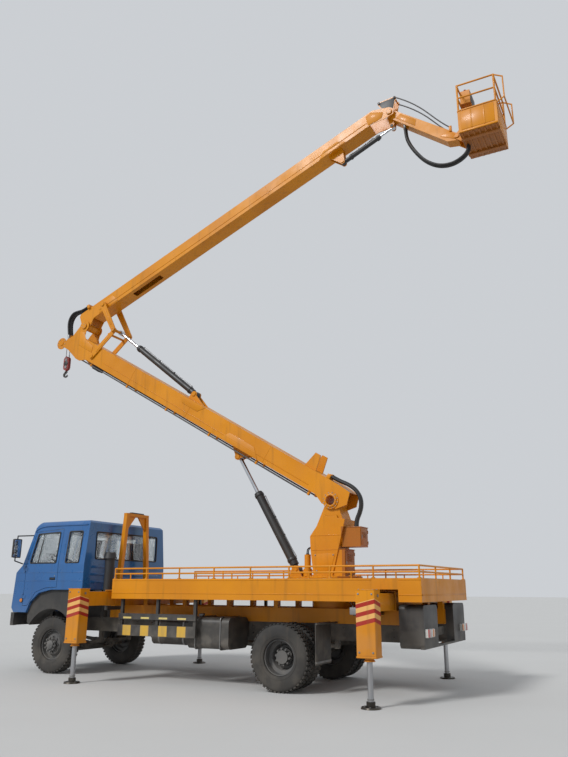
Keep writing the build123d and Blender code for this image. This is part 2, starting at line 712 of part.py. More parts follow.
def hinge_leaf(side, x_range, z_range):
    """Flat leaf on the outside of the cab, beside a hinge knuckle."""
    return block(x_range, sorted((side * (cab_half_width + run_gap), side * (cab_half_width + 5))), z_range)


with BuildPart() as cab_shell:
    add(cab_hull(0))
    add(cab_hull(cab_wall), mode=Mode.SUBTRACT)
    add(slab(windscreen, Plane.YZ, rear_axle_x + 5150, cab_reach[1]), mode=Mode.SUBTRACT)
    add(slab(rear_window, Plane.YZ, cab_reach[0], cab_rear_x + 100), mode=Mode.SUBTRACT)
    add(slab_pair(quarter_window, side_plane(), *wall_reach), mode=Mode.SUBTRACT)
    add(side_walls(-5, cab_wall + 2, door_outline), mode=Mode.SUBTRACT)
    # upper and lower knuckle of each door hinge, in a groove of the front post
    for side in (1, -1):
        for z in hinge_heights:
            add(hinge_bar(side, knuckle_radius + 4, z - 2 * knuckle_half, z + 2 * knuckle_half), mode=Mode.SUBTRACT)
            for low, high in ((z - 2 * knuckle_half, z - knuckle_half - run_gap),
                              (z + knuckle_half + run_gap, z + 2 * knuckle_half)):
                add(hinge_bar(side, knuckle_radius, low, high))
                add(block((hinge_x, hinge_x + 30), sorted((side * (cab_half_width - 5), side * (cab_half_width + 5))),
                          (low, high)))
    # air slots in the nose, six rows between the headlamps
    for row in range(6):
        slot_z = 1240 + row * 70
        add(block((rear_axle_x + 5622, cab_reach[1]), (-700, 700), (slot_z, slot_z + 36)), mode=Mode.SUBTRACT)

with BuildPart() as cab_glass:
    add(side_layer(glass_depth, glass_wall, cab_reach))
    add(slab(set_in(quarter_window, run_gap), side_plane(), -cab_half_width, cab_half_width), mode=Mode.INTERSECT)
    with BuildPart(mode=Mode.PRIVATE) as screen:
        add(slab([(screen_x(d, z), z) for d, z in (
            (glass_depth, belt_z), (glass_depth, 2540), (glass_depth + glass_wall, 2540),
            (glass_depth + glass_wall, belt_z))], side_plane(), -cab_half_width, cab_half_width))
        add(slab(set_in(windscreen, run_gap), Plane.YZ, rear_axle_x + 5150, cab_reach[1]), mode=Mode.INTERSECT)
    add(screen.part)
    glass_x = cab_rear_x + glass_depth
    add(slab(set_in(rear_window, run_gap), Plane.YZ, glass_x, glass_x + glass_wall))

doors = {}
for side_name, side in (("left", 1), ("right", -1)):
    near, far = sorted((-side * wall_reach[0], -side * wall_reach[1]))
    with BuildPart() as door:
        add(side_walls(0, cab_wall, set_in(door_outline, move_gap)))
        own_side = sorted((0, side * (cab_half_width + 30)))
        add(block(cab_reach, own_side, (cab_nose_z, cab_roof_z)), mode=Mode.INTERSECT)
        add(slab(door_window, side_plane(), near, far), mode=Mode.SUBTRACT)
        # handle recess on the outside
        add(block((door_rear_x + 50, door_rear_x + 190), sorted((side * (cab_half_width - 14), side * wall_reach[1])),
                  handle_z), mode=Mode.SUBTRACT)
        # middle knuckle of each hinge, on a leaf that is welded to the door's face
        for z in hinge_heights:
            height = (z - knuckle_half, z + knuckle_half)
            add(hinge_bar(side, knuckle_radius, *height))
            add(hinge_leaf(side, (hinge_x - 70, hinge_x), height))
            add(block((hinge_x - 70, hinge_x - 34), sorted((side * (cab_half_width - 4), side * (cab_half_width + 1))),
                      height))
    with BuildPart() as door_glass:
        add(side_layer(glass_depth, glass_wall, cab_reach))
        add(slab(set_in(door_window, run_gap), side_plane(), near, far), mode=Mode.INTERSECT)
    doors[f"door_{side_name}"] = door
    doors[f"door_glass_{side_name}"] = door_glass

# Seats, dashboard and steering wheel on the cab floor
seat_floor_z = cab_floor_z + cab_wall + run_gap
with BuildPart() as seats:
    for y in (600, -600):
        add(block((rear_axle_x + 4330, rear_axle_x + 4790), (y - 240, y + 240), (seat_floor_z, seat_floor_z + 200)))
        add(block((rear_axle_x + 4310, rear_axle_x + 4810), (y - 250, y + 250), (seat_floor_z + 200, seat_floor_z + 330)))
        back = from_axle([(4310, seat_floor_z + 330), (4440, seat_floor_z + 330), (4340, seat_floor_z + 880),
                          (4220, seat_floor_z + 880)])
        add(slab(back, side_plane(), -y - 240, -y + 240))
wheel_centre = (rear_axle_x + 5010, 600, 1965)
wheel_tilt = 28
with BuildPart() as dashboard:
    dash = from_axle([(5170, 1560), (5170, 1800), (5215, 1850), (5330, 1850), (5510, 1700), (5510, 1560)])
    add(slab(dash, side_plane(), -cab_half_width + cab_wall + 30, cab_half_width - cab_wall - 30))
    for side in (1, -1):
        y_range = sorted((side * 300, side * 340))
        add(block((rear_axle_x + 5440, rear_axle_x + 5500), y_range, (cab_nose_z + cab_wall + run_gap, 1560)))
    wheel_plane = Plane(origin=wheel_centre, z_dir=(-sin(radians(wheel_tilt)), 0, cos(radians(wheel_tilt))))
    with BuildSketch(wheel_plane.offset(-30)):
        Circle(38)
    extrude(amount=-330, taper=-2)
    with BuildSketch(wheel_plane.offset(-30)):
        Circle(45)
        for turn in (90, 210, 330):
            with Locations(Location((0, 0, 0), turn)):
                with Locations((110, 0)):
                    Rectangle(200, 30)
    extrude(amount=16)
    with BuildSketch(Plane(origin=wheel_centre, x_dir=(cos(radians(wheel_tilt)), 0, sin(radians(wheel_tilt))),
                           z_dir=(0, -1, 0))):
        with Locations((215, -22)):
            Circle(16)
    revolve(axis=Axis(wheel_centre, wheel_plane.z_dir))

# Bumper on the rail ends, with the mudguards over the front wheels
bumper_half = cab_half_width + 10
bumper_z = (790, 1012)
bumper_face_x = rear_axle_x + 5740
arch_radius = 610
arch_wall = 8
arch_y = (780, cab_half_width - 50)
with BuildPart() as bumper:
    with BuildSketch(Plane.XY.offset(bumper_z[0])):
        with BuildLine():
            half = [(bumper_face_x - back, bumper_half - inset) for back, inset in (
                (100, 120), (180, 80), (180, 0), (100, 0), (0, 90))]
            Polyline(*half, *[(x, -y) for x, y in reversed(half)], close=True)
        make_face()
    extrude(amount=bumper_z[1] - bumper_z[0])
    for side in (1, -1):
        y_range = sorted((side * (rail_outer_y - rail_flange), side * rail_outer_y))
        add(block((chassis_front_x + run_gap, bumper_face_x - 95), y_range, (rail_bottom_z + 60, rail_bottom_z + 220)))

with BuildPart() as mudguards:
    arch = from_axle([
        (4110, 700), (4110, cab_floor_z - run_gap), (4700, cab_floor_z - run_gap), (5000, 1360 - run_gap),
        (5199, 1200 - run_gap), (5279, 1020), (5279, 860), (5100, 700),
    ])
    add(slab_pair(arch, side_plane(), *arch_y))
    cut = rod(side_plane(), (front_axle_x, axle_z), arch_radius, -cab_half_width, cab_half_width)
    add(cut, mode=Mode.SUBTRACT)
    hollow = slab_pair(from_axle([
        (4118, 690), (4118, cab_floor_z + 10), (4690, cab_floor_z + 10), (5290, 1400), (5290, 690)]), side_plane(),
        arch_y[0] - 10, arch_y[1] - arch_wall)
    keep = rod(side_plane(), (front_axle_x, axle_z), arch_radius + arch_wall, -cab_half_width, cab_half_width)
    with BuildPart(mode=Mode.PRIVATE) as spare:
        add(hollow)
        add(keep, mode=Mode.SUBTRACT)
    add(spare.part, mode=Mode.SUBTRACT)

# Mirrors on bowed arms ahead of the door hinges
with BuildPart() as mirrors:
    for side in (1, -1):
        arm = [(5337.5, -72, 2400), (5480, 180, 2380), (5500, 180, 1930), (5476, 0, 1880)]
        path = [(rear_axle_x + run, side * (cab_half_width + out), z) for run, out, z in arm]
        for start, end in zip(path, path[1:]):
            add(bar(start, end, 11))
        for x, y, z in path[1:3]:
            with Locations((x, y, z)):
                Sphere(11)
        head_y = sorted((side * (cab_half_width + 90), side * (cab_half_width + 270)))
        add(block((rear_axle_x + 5470, rear_axle_x + 5500), head_y, (1990, 2320)))

# Lamps: two in the bumper and a cluster at each end of the rear box
with BuildPart() as lamps:
    for side in (1, -1):
        lamp_y = sorted((side * (rear_box_y - 320), side * (rear_box_y - 30)))
        add(block((rear_box_x[0] - 45, rear_box_x[0] - run_gap), lamp_y, (820, 930)))
        lamp_at = (side * (bumper_half - 310), sum(bumper_z) / 2)
        add(rod(Plane.YZ, lamp_at, 75, bumper_face_x + run_gap, bumper_face_x + 25))

# Air intake stack behind the cab, held off the subframe by one arm
stack_x = rear_axle_x + 3665
with BuildPart() as air_intake:
    add(rod(Plane.XY, (stack_x, 800), 85, 1180, 1960))
    with BuildSketch(Plane.XY.offset(1960)):
        with Locations((stack_x, 800)):
            Circle(120)
    extrude(amount=110, taper=14)
    add(block((stack_x - 40, stack_x + 40), (rail_outer_y + run_gap, 800), (1080, 1140)))
    add(rod(Plane.XY, (stack_x, 800), 40, 1080, 1190))


def eye_slab(plane, low, high, *eyes):
    """Plate between two heights whose outline wraps round two or more (x, y, radius) eyes."""
    with BuildPart() as plate:
        with BuildSketch(plane.offset(low)):
            for x, y, radius in eyes:
                with Locations((x, y)):
                    Circle(radius)
            make_hull()
        extrude(amount=high - low)
    return plate.part


def both_sides(plane, inner, outer, *eyes):
    """Eyed plate repeated on both sides of the middle plane."""
    with BuildPart() as plates:
        add(eye_slab(plane, inner, outer, *eyes))
        add(eye_slab(plane, -outer, -inner, *eyes))
    return plates.part


def rods_pair(plane, centre, radius, inner, outer):
    """Round boss or stub pin on both sides of the middle plane."""
    with BuildPart() as pins:
        add(rod(plane, centre, radius, inner, outer))
        add(rod(plane, centre, radius, -outer, -inner))
    return pins.part


# Turret: round base plate, hollow leaning column, head with the luffing tube, lugs of the luffing cylinder
turret_z = slew_gap_z + run_gap
turret_floor = turret_z + turret_plate
column_side = from_axle([
    (-460, turret_floor), (-130, turret_floor), (-80, 2050), (-70, 2280), (-392, 2700), (-450, 2730), (-514, 2698),
    (-572, 2560), (-700, 2540), (-600, 2160),
])
column_wall = 20
ear_radius = 150
arm_boss_radius = 140
root_swing = 262
luff_pin_radius = 30
luff_lug_y = (58, 84)
with BuildPart() as turret:
    add(rod(Plane.XY, (slew_x, 0), 450, turret_z, turret_floor))
    tongue = [(slew_x, -240), (slew_x + 560, -200), (slew_x + 800, -110), (slew_x + 800, 110), (slew_x + 560, 200),
              (slew_x, 240)]
    add(slab(tongue, Plane.XY, turret_z, turret_floor))
    add(slab(column_side, side_plane(), -column_half_width, column_half_width))
    cradle = rod(side_plane(), luff_pivot, root_swing, -column_half_width, column_half_width)
    add(cradle, mode=Mode.SUBTRACT)
    add(slab(set_in(column_side, column_wall), side_plane(), -column_half_width + column_wall,
             column_half_width - column_wall), mode=Mode.SUBTRACT)
    # head between the arm's root plates
    add(slab(from_axle([(-130, 2350), (-330, 2780), (-560, 2780), (-640, 2560), (-620, 2350)]), side_plane(),
             -head_half_width, head_half_width))
    add(rod(side_plane(), luff_pivot, ear_radius, -head_half_width, head_half_width))
    add(rod(side_plane(), luff_pivot, pivot_tube_radius, -column_half_width - 8, column_half_width + 8))
    add(rod(side_plane(), luff_pivot, pivot_tube_radius - 22, -column_half_width - 10, column_half_width + 10),
        mode=Mode.SUBTRACT)
    # cabinets behind the column
    add(block((rear_axle_x - 680, rear_axle_x - 440), (-200, 200), (turret_floor, 2065)))
    add(block((rear_axle_x - 940, rear_axle_x - 610), (-160, 160), (2100, 2410)))
    # lugs and pin of the luffing cylinder
    lug = [(luff_foot[0] - 130, turret_floor), (luff_foot[0] + 110, turret_floor), (luff_foot[0] + 62, luff_foot[1]),
           (luff_foot[0] - 62, luff_foot[1])]
    add(slab_pair(lug, side_plane(), *luff_lug_y))
    add(rods_pair(side_plane(), luff_foot, 62, *luff_lug_y))
    add(rod(side_plane(), luff_foot, luff_pin_radius, -luff_lug_y[1] - 6, luff_lug_y[1] + 6))
    # slewing drive
    add(rod(Plane.XY, (rear_axle_x + 10, 148), 70, turret_floor, turret_floor + 120))
    add(rod(Plane.XY, (rear_axle_x + 10, 148), 52, turret_floor + 120, turret_floor + 350))

# Cylinders: each is a closed tube with a bored eye at its foot, and a rod that ends in a bored eye


def cylinder_tube(foot, tip, length, radius, bore, rod_radius, pin_radius, eye):
    """Hollow tube from its foot eye to the gland; eye gives the eye's radius and half width."""
    plane = side_plane(foot, bearing(foot, tip))
    axis = (foot[0], 0, foot[1])
    far = along(foot, bearing(foot, tip), length)
    start = along(foot, bearing(foot, tip), eye[0] + 18)
    with BuildPart() as tube:
        add(bar((start[0], 0, start[1]), (far[0], 0, far[1]), radius))
        add(bar(axis, (start[0], 0, start[1]), min(radius, eye[1]) * 0.94))
        add(rod(plane, (0, 0), eye[0], -eye[1], eye[1]))
        floor = along(foot, bearing(foot, tip), eye[0] + 32)
        gland = along(foot, bearing(foot, tip), length - 60)
        add(bar((floor[0], 0, floor[1]), (gland[0], 0, gland[1]), bore), mode=Mode.SUBTRACT)
        beyond = along(foot, bearing(foot, tip), length + 10)
        add(bar((gland[0], 0, gland[1]), (beyond[0], 0, beyond[1]), rod_radius + run_gap), mode=Mode.SUBTRACT)
        add(rod(plane, (0, 0), pin_radius + run_gap, -eye[1], eye[1]), mode=Mode.SUBTRACT)
    return tube.part


def cylinder_rod(foot, tip, length, radius, piston, pin_radius, eye):
    """Rod with its piston inside the tube, reaching back from the tip by its length."""
    angle = bearing(foot, tip)
    start = along(tip, angle, -length)
    head = along(tip, angle, 45 - length)
    with BuildPart() as body:
        add(bar((start[0], 0, start[1]), (tip[0], 0, tip[1]), radius))
        add(bar((start[0], 0, start[1]), (head[0], 0, head[1]), piston))
        add(rod(side_plane(tip), (0, 0), eye[0], -eye[1], eye[1]))
        add(rod(side_plane(tip), (0, 0), pin_radius + run_gap, -eye[1], eye[1]), mode=Mode.SUBTRACT)
    return body.part


with BuildPart() as luff_barrel:
    add(cylinder_tube(luff_foot, luff_lug, 1530, 75, 60, 35, luff_pin_radius, (64, 52)))
with BuildPart() as luff_rod:
    add(cylinder_rod(luff_foot, luff_lug, 1575, 35, 59.7, luff_pin_radius, (58, 50)))

# Hoses that hang free: their places across the truck, and their routes point by point
hose_radius = 34
column_hose_y = 130
elbow_hose_y = 125
basket_route = [(rear_axle_x + run, 0, z) for run, z in (
    (-2000, 9609.7), (-2000, 9450), (-2060, 9260), (-2175, 9040), (-2345, 8805), (-2560, 8645), (-2790, 8600),
    (-2995, 8668), (-3112, 8790), (-3112, 8899.4))]
elbow_route = [(x, elbow_hose_y, z) for x, z in (
    along(elbow, upper_angle, run, -rise) for run, rise in (
        (190, 420), (50, 420), (-100, 480), (-220, 512), (-335, 462), (-420, 350), (-461, 200), (-488, 60)))]
column_route = [(x, column_hose_y, z) for x, z in (
    *(along(luff_pivot, lower_angle, run, rise) for run, rise in (
        (200, 345), (60, 345), (-100, 366), (-255, 360), (-390, 300), (-480, 190), (-518, 60), (-526, -80))),
    (rear_axle_x - 861, 2410.4))]
gland_way = (Vector(*elbow_route[-1]) - Vector(*elbow_route[-2])).normalized()
elbow_gland = (Vector(*elbow_route[-1]) + gland_way * run_gap, Vector(*elbow_route[-1]) + gland_way * 165)

# Lower arm: four-plate box with root plates round the luffing tube and ears round the elbow pin
arm_plane = side_plane(luff_pivot, lower_angle)
lower_skin = lower_half_width - lower_plate
elbow_pin_radius = 45
ear_round = 125
stub_pin_radius = 30
rocker_y = (220, 242)
link_y = (250, 275)
sheave_radius = 48
axle_radius = 25


def lower_edge(run):
    """Height of the lower arm's underside, which falls towards the elbow."""
    return lower_bottom[0] + (lower_bottom[1] - lower_bottom[0]) * run / lower_straight


root_top = lower_top[0] - 18
lower_side = [
    (-237, root_top), (0, lower_top[0]), (lower_straight, lower_top[1]), (7010, 470), elbow_at,
    (7235, 470), (7300, 210), (7420, 70), (7400, -110), (7240, -110), (6900, -190), (6780, -190),
    (6600, lower_edge(6600)), (300, lower_edge(300)), (120, -120), (-150, -80), (-288, 73),
]
with BuildPart() as lower_arm:
    add(slab_pair(lower_side, arm_plane, lower_skin, lower_half_width))
    add(rods_pair(arm_plane, (0, 0), arm_boss_radius, lower_skin, lower_half_width + 12))
    add(rods_pair(arm_plane, elbow_at, ear_round, lower_skin, lower_half_width))
    add(rods_pair(arm_plane, nose_at, nose_radius, lower_skin, lower_half_width))
    top = [(-237, root_top), (0, lower_top[0]), (lower_straight, lower_top[1]),
           (lower_straight, lower_top[1] - lower_plate), (0, lower_top[0] - lower_plate),
           (-237, root_top - lower_plate)]
    add(slab(top, arm_plane, -lower_skin, lower_skin))
    bottom = [(330, lower_edge(330)), (6650, lower_edge(6650)), (6650, lower_edge(6650) + lower_plate),
              (330, lower_edge(330) + lower_plate)]
    add(slab(bottom, arm_plane, -lower_skin, lower_skin))
    for run in (1500, 3500, 5200, 6640):
        rib = [(run, lower_edge(run) + 5), (run + lower_plate, lower_edge(run) + 5),
               (run + lower_plate, lower_top[1] - 5), (run, lower_top[1] - 5)]
        add(slab(rib, arm_plane, -lower_skin, lower_skin))
    # pocket between the luffing lugs, then the lugs with their pin
    pocket = [(luff_lug_at[0] - 330, -200), (luff_lug_at[0] + 330, -200), (luff_lug_at[0] + 330, 0),
              (luff_lug_at[0] - 330, 0)]
    add(slab(pocket, arm_plane, -luff_lug_y[0], luff_lug_y[0]), mode=Mode.SUBTRACT)
    lug_root = lower_edge(luff_lug_at[0]) + 4
    lug = [(luff_lug_at[0] - 230, lug_root), (luff_lug_at[0] + 230, lug_root),
           (luff_lug_at[0] + 62, luff_lug_at[1]), (luff_lug_at[0] - 62, luff_lug_at[1])]
    add(slab_pair(lug, arm_plane, *luff_lug_y))
    add(rods_pair(arm_plane, luff_lug_at, 62, *luff_lug_y))
    # root bore over the turret's tube, elbow pin, stub pins of the rocker and axle of the sheave
    add(rod(arm_plane, (0, 0), pivot_tube_radius + run_gap, -lower_half_width - 20, lower_half_width + 20),
        mode=Mode.SUBTRACT)
    add(rod(arm_plane, elbow_at, elbow_pin_radius, -lower_half_width - 14, lower_half_width + 14))
    add(rods_pair(arm_plane, rocker_foot_at, stub_pin_radius, lower_skin, rocker_y[1] + 4))
    add(rods_pair(arm_plane, rocker_foot_at, 60, lower_skin, rocker_y[0] - 2))
    add(rod(arm_plane, nose_at, axle_radius, -lower_skin, lower_skin))
    # foot of the folding cylinder
    foot = [(3290, lower_top[1] - 4), (3738, lower_top[1] - 4), (fold_foot_at[0] + 60, fold_foot_at[1]),
            (fold_foot_at[0] - 60, fold_foot_at[1])]
    add(slab_pair(foot, arm_plane, *luff_lug_y))
    add(rods_pair(arm_plane, fold_foot_at, 60, *luff_lug_y))
    add(rod(arm_plane, fold_foot_at, luff_pin_radius, -luff_lug_y[1] - 6, luff_lug_y[1] + 6))
    # nose plate, and the ends of the hoses at the elbow and over the root
    nose_plate = [(7290, 30), (7490, 30), (7490, 40), (7290, 40)]
    add(slab(nose_plate, arm_plane, -lower_skin, lower_skin))
    gland_foot = lower_top[0] + run_gap
    gland = [(200 + run_gap, gland_foot), (275, gland_foot), (275, 360), (200 + run_gap, 384)]
    add(slab(gland, arm_plane, -column_hose_y - 38, 38 - column_hose_y))
    add(bar(elbow_gland[0], elbow_gland[1], hose_radius + 8))
    # cheeks that cradle the upper arm when it is folded down
    cheek = [(520, lower_top[0] - 4), (760, lower_top[0] - 4), (680, 566), (573, 566)]
    add(slab_pair(cheek, arm_plane, 128, 150))

# Folding cylinder on the lower arm
fold_barrel_radius = 62
with BuildPart() as fold_barrel:
    add(cylinder_tube(fold_foot, link_pin, 1937, fold_barrel_radius, 50, 32, luff_pin_radius, (60, 52)))
with BuildPart() as fold_rod:
    add(cylinder_rod(fold_foot, link_pin, 1500, 32, 49.7, luff_pin_radius, (52, 50)))

# Elbow rocker: two straps from the lower arm to the cylinder's head, tied together
with BuildPart() as elbow_rocker:
    add(both_sides(arm_plane, *rocker_y, (*rocker_foot_at, 56), (*link_pin_at, 50)))
    add(rod(arm_plane, rocker_foot_at, stub_pin_radius + run_gap, -300, 300), mode=Mode.SUBTRACT)
    add(rods_pair(arm_plane, link_pin_at, stub_pin_radius, luff_lug_y[0] + 4, rocker_y[1]))
    strap = bearing(rocker_foot_at, link_pin_at)
    tie = along(rocker_foot_at, strap, 0.8 * span(rocker_foot_at, link_pin_at), -45)
    add(rod(arm_plane, tie, 24, -rocker_y[1], rocker_y[1]))

# Elbow link: two plates from the cylinder's head to the upper arm, passing outside the rocker
with BuildPart() as elbow_link:
    add(both_sides(arm_plane, *link_y, (*link_root_at, 70), (*link_pin_at, 55)))
    add(rod(arm_plane, link_root_at, stub_pin_radius + run_gap, -300, 300), mode=Mode.SUBTRACT)
    add(rods_pair(arm_plane, link_pin_at, 36, link_y[1] - 1, link_y[1] + 14))

# Upper arm: tapering four-plate box from the elbow hub to the jib fork
reach_plane = up_plane(elbow, upper_angle)
upper_plate = 10
upper_skin = upper_half_width - upper_plate
upper_length = 7500
fork_start = 7330
jib_bar_radius = 85


def to_upper(point):
    """Side-view point in the upper arm's own lengthways and upward sizes."""
    dx, dz = point[0] - elbow[0], point[1] - elbow[1]
    c, s = cos(radians(upper_angle)), sin(radians(upper_angle))
    return (dx * c + dz * s, dx * s - dz * c)


def upper_low(run):
    return upper_root_heights[0] + (upper_tip_heights[0] - upper_root_heights[0]) * run / upper_length


def upper_high(run):
    return upper_root_heights[1] + (upper_tip_heights[1] - upper_root_heights[1]) * run / upper_length


link_root_upper = to_upper(link_root)
upper_side = [
    (-100, 20), (-90, 330), (-40, upper_high(0)), (upper_length, upper_high(upper_length)),
    (knuckle_at[0] + 40, knuckle_at[1] + 92), (knuckle_at[0] + 100, knuckle_at[1]), (knuckle_at[0] + 40, knuckle_at[1] - 92),
    (7600, 0), (7400, upper_low(7400)), (260, upper_low(260)), (70, -70),
]
fold_slot = (1320, 2080)
jib_foot_up = (jib_foot_at[0], -jib_foot_at[1])
jib_pin_radius = 20
jib_lug_y = (44, 62)
with BuildPart() as upper_arm:
    add(slab_pair(upper_side, reach_plane, upper_skin, upper_half_width))
    add(rods_pair(reach_plane, (0, 0), 105, upper_skin, upper_half_width))
    # top and bottom sheet: edge line, start along the arm, thickness towards the inside
    for edge, first, inwards in ((upper_high, -40, -upper_plate), (upper_low, 260, upper_plate)):
        sheet = [(first, edge(first)), (fork_start, edge(fork_start)), (fork_start, edge(fork_start) + inwards),
                 (first, edge(first) + inwards)]
        add(slab(sheet, reach_plane, -upper_skin, upper_skin))
    # slot in the bottom sheet, which clears the folding cylinder when the arm is folded down
    slot = [(fold_slot[0], 0), (fold_slot[1], 0), (fold_slot[1], 150), (fold_slot[0], 150)]
    add(slab(slot, reach_plane, -fold_barrel_radius - 10, fold_barrel_radius + 10), mode=Mode.SUBTRACT)
    for run in (250, 2600, 5000, fork_start - upper_plate):
        rib = [(run, upper_low(run) + 5), (run + upper_plate, upper_low(run) + 5),
               (run + upper_plate, upper_high(run) - 5), (run, upper_high(run) - 5)]
        add(slab(rib, reach_plane, -upper_skin, upper_skin))
    # elbow hub, link stub pins, jib pin
    add(rod(reach_plane, (0, 0), 78, 2 - lower_skin, lower_skin - 2))
    add(rod(reach_plane, (0, 0), elbow_pin_radius + run_gap, -lower_half_width, lower_half_width), mode=Mode.SUBTRACT)
    add(rods_pair(reach_plane, link_root_upper, stub_pin_radius, upper_skin, link_y[1] + 8))
    add(rods_pair(reach_plane, link_root_upper, 66, upper_skin, link_y[0] - 2))
    add(rod(reach_plane, knuckle_at, 35, -upper_half_width - 10, upper_half_width + 10))
    # foot of the jib cylinder
    foot = [(jib_foot_up[0] - 200, upper_low(6560) + 4), (jib_foot_up[0] + 120, upper_low(6560) + 4),
            (jib_foot_up[0] + 48, jib_foot_up[1]), (jib_foot_up[0] - 48, jib_foot_up[1])]
    add(slab_pair(foot, reach_plane, *jib_lug_y))
    add(rods_pair(reach_plane, jib_foot_up, 48, *jib_lug_y))
    add(rod(reach_plane, jib_foot_up, jib_pin_radius, -jib_lug_y[1] - 6, jib_lug_y[1] + 6))
    # bracket on the root that guides the levelling rods
    guide = [(60, upper_high(60) - 4), (330, upper_high(330) - 4), (240, 470), (120, 480)]
    add(slab_pair(guide, reach_plane, 60, 72))
    gland = [(190 + run_gap, 362), (260, 362), (260, 440), (190 + run_gap, 460)]
    add(slab(gland, reach_plane, elbow_hose_y - 38, elbow_hose_y + 38))

# Jib cylinder under the upper arm's tip
with BuildPart() as jib_barrel:
    add(cylinder_tube(jib_foot, jib_lug, 830, 42, 33, 20, jib_pin_radius, (42, 40)))
with BuildPart() as jib_rod:
    add(cylinder_rod(jib_foot, jib_lug, 700, 20, 32.7, jib_pin_radius, (38, 38)))

# Jib: deepening bar from the knuckle to the basket, with its levelling plates and cylinder lug
jib_plane = up_plane(knuckle, jib_angle)
basket_pin_radius = 25
with BuildPart() as jib:
    bar_side = [(-20, 84), (jib_length - 60, 60), (jib_length + 50, 40), (jib_length + 50, -50),
                (jib_length - 120, -140), (-20, -84)]
    add(slab(bar_side, jib_plane, -jib_half_width, jib_half_width))
    bar_inner = [(110, 66), (jib_length - 110, 48), (jib_length - 110, -112), (110, -66)]
    add(slab(bar_inner, jib_plane, -jib_half_width + 10, jib_half_width - 10), mode=Mode.SUBTRACT)
    add(rod(jib_plane, (0, 0), 88, 4 - upper_skin, upper_skin - 4))
    k_plate = [(knuckle[0] - 60, knuckle[1] + 40), (knuckle[0] + 60, knuckle[1] - 40), (knuckle[0] + 245, knuckle[1] + 290),
               (knuckle[0] + 215, knuckle[1] + 325), (knuckle[0] - 95, knuckle[1] + 350), (knuckle[0] - 125, knuckle[1] + 320)]
    add(slab_pair(k_plate, side_plane(), 84, 98))
    for corner in ((knuckle[0] + 215, knuckle[1] + 295), (knuckle[0] - 95, knuckle[1] + 320)):
        add(rods_pair(side_plane(), corner, 30, 84, 98))
        add(rod(side_plane(), corner, 14, -112, 112))
    lug = [(knuckle[0] + 60, knuckle[1] - 40), (knuckle[0] - 62, knuckle[1] - 40), (jib_lug[0] - 40, jib_lug[1]),
           (jib_lug[0] + 40, jib_lug[1])]
    add(slab_pair(lug, side_plane(), *jib_lug_y))
    add(rods_pair(side_plane(), jib_lug, 42, *jib_lug_y))
    add(rods_pair(side_plane(), jib_lug, jib_pin_radius, jib_lug_y[1] - 2, jib_lug_y[1] + 6))
    add(rod(Plane.XY, (basket_route[0][0], 0), hose_radius + 9, basket_route[0][2] + run_gap, 9690))
    add(rod(jib_plane, (0, 0), 35 + run_gap, -300, 300), mode=Mode.SUBTRACT)
    add(rod(jib_plane, (jib_length, 0), basket_pin_radius + run_gap, -300, 300), mode=Mode.SUBTRACT)

# Basket: floor pan, panelled lower half, tube rails above, lugs to the jib's pin
basket_rear_x = basket_front_x - basket_size[0]
panel_height = 450
panel_wall = 4
tube_radius = 17
with BuildPart() as basket:
    half = basket_size[1] / 2
    x_range = (basket_rear_x, basket_front_x)
    floor_z = basket_floor_z
    add(block(x_range, (-half, half), (floor_z, floor_z + panel_height)))
    add(block((x_range[0] + panel_wall, x_range[1] - panel_wall), (-half + panel_wall, half - panel_wall),
              (floor_z + 30, floor_z + panel_height + 5)), mode=Mode.SUBTRACT)
    inset_x = (basket_rear_x + tube_radius, basket_front_x - tube_radius)
    rail_y = half - tube_radius
    top_z = floor_z + basket_size[2] - tube_radius
    for x in inset_x:
        for y in (-rail_y, rail_y):
            add(bar((x, y, floor_z + 10), (x, y, top_z), tube_radius))
            with Locations((x, y, top_z)):
                Sphere(tube_radius)
    for z in (top_z, (top_z + floor_z + panel_height) / 2):
        for x in inset_x:
            add(bar((x, -rail_y, z), (x, rail_y, z), tube_radius * 0.85))
        for y in (-rail_y, rail_y):
            add(bar((inset_x[0], y, z), (inset_x[1], y, z), tube_radius * 0.85))
    # control box on the front rail
    add(block((basket_front_x - 190, basket_front_x - tube_radius), (-190, 190), (top_z - 230, top_z + 30)))
    # bowed guard behind
    for y in (-rail_y, rail_y):
        bow = [(inset_x[0], floor_z + panel_height - 60), (basket_rear_x - 130, floor_z + panel_height + 20),
               (basket_rear_x - 130, top_z - 90), (inset_x[0], top_z)]
        for start, end in zip(bow, bow[1:]):
            add(bar((start[0], y, start[1]), (end[0], y, end[1]), tube_radius * 0.7))
            with Locations((end[0], y, end[1])):
                Sphere(tube_radius * 0.7)
    for z in (floor_z + panel_height + 20, top_z - 90):
        add(bar((basket_rear_x - 130, -rail_y, z), (basket_rear_x - 130, rail_y, z), tube_radius * 0.7))
    # bearers under the floor and lugs on the front
    for y in (-250, 250):
        add(block(x_range, (y - 30, y + 30), (floor_z - 40, floor_z + 10)))
    lug = [(basket_front_x - 6, floor_z + 20), (basket_front_x - 6, floor_z + 330), (basket_pivot[0] + 10, basket_pivot[1] + 60),
           (basket_pivot[0] + 60, basket_pivot[1]), (basket_pivot[0] + 10, basket_pivot[1] - 60)]
    add(slab_pair(lug, side_plane(), jib_half_width + 8, jib_half_width + 26))
    add(rod(side_plane(), basket_pivot, basket_pin_radius, -jib_half_width - 34, jib_half_width + 34))

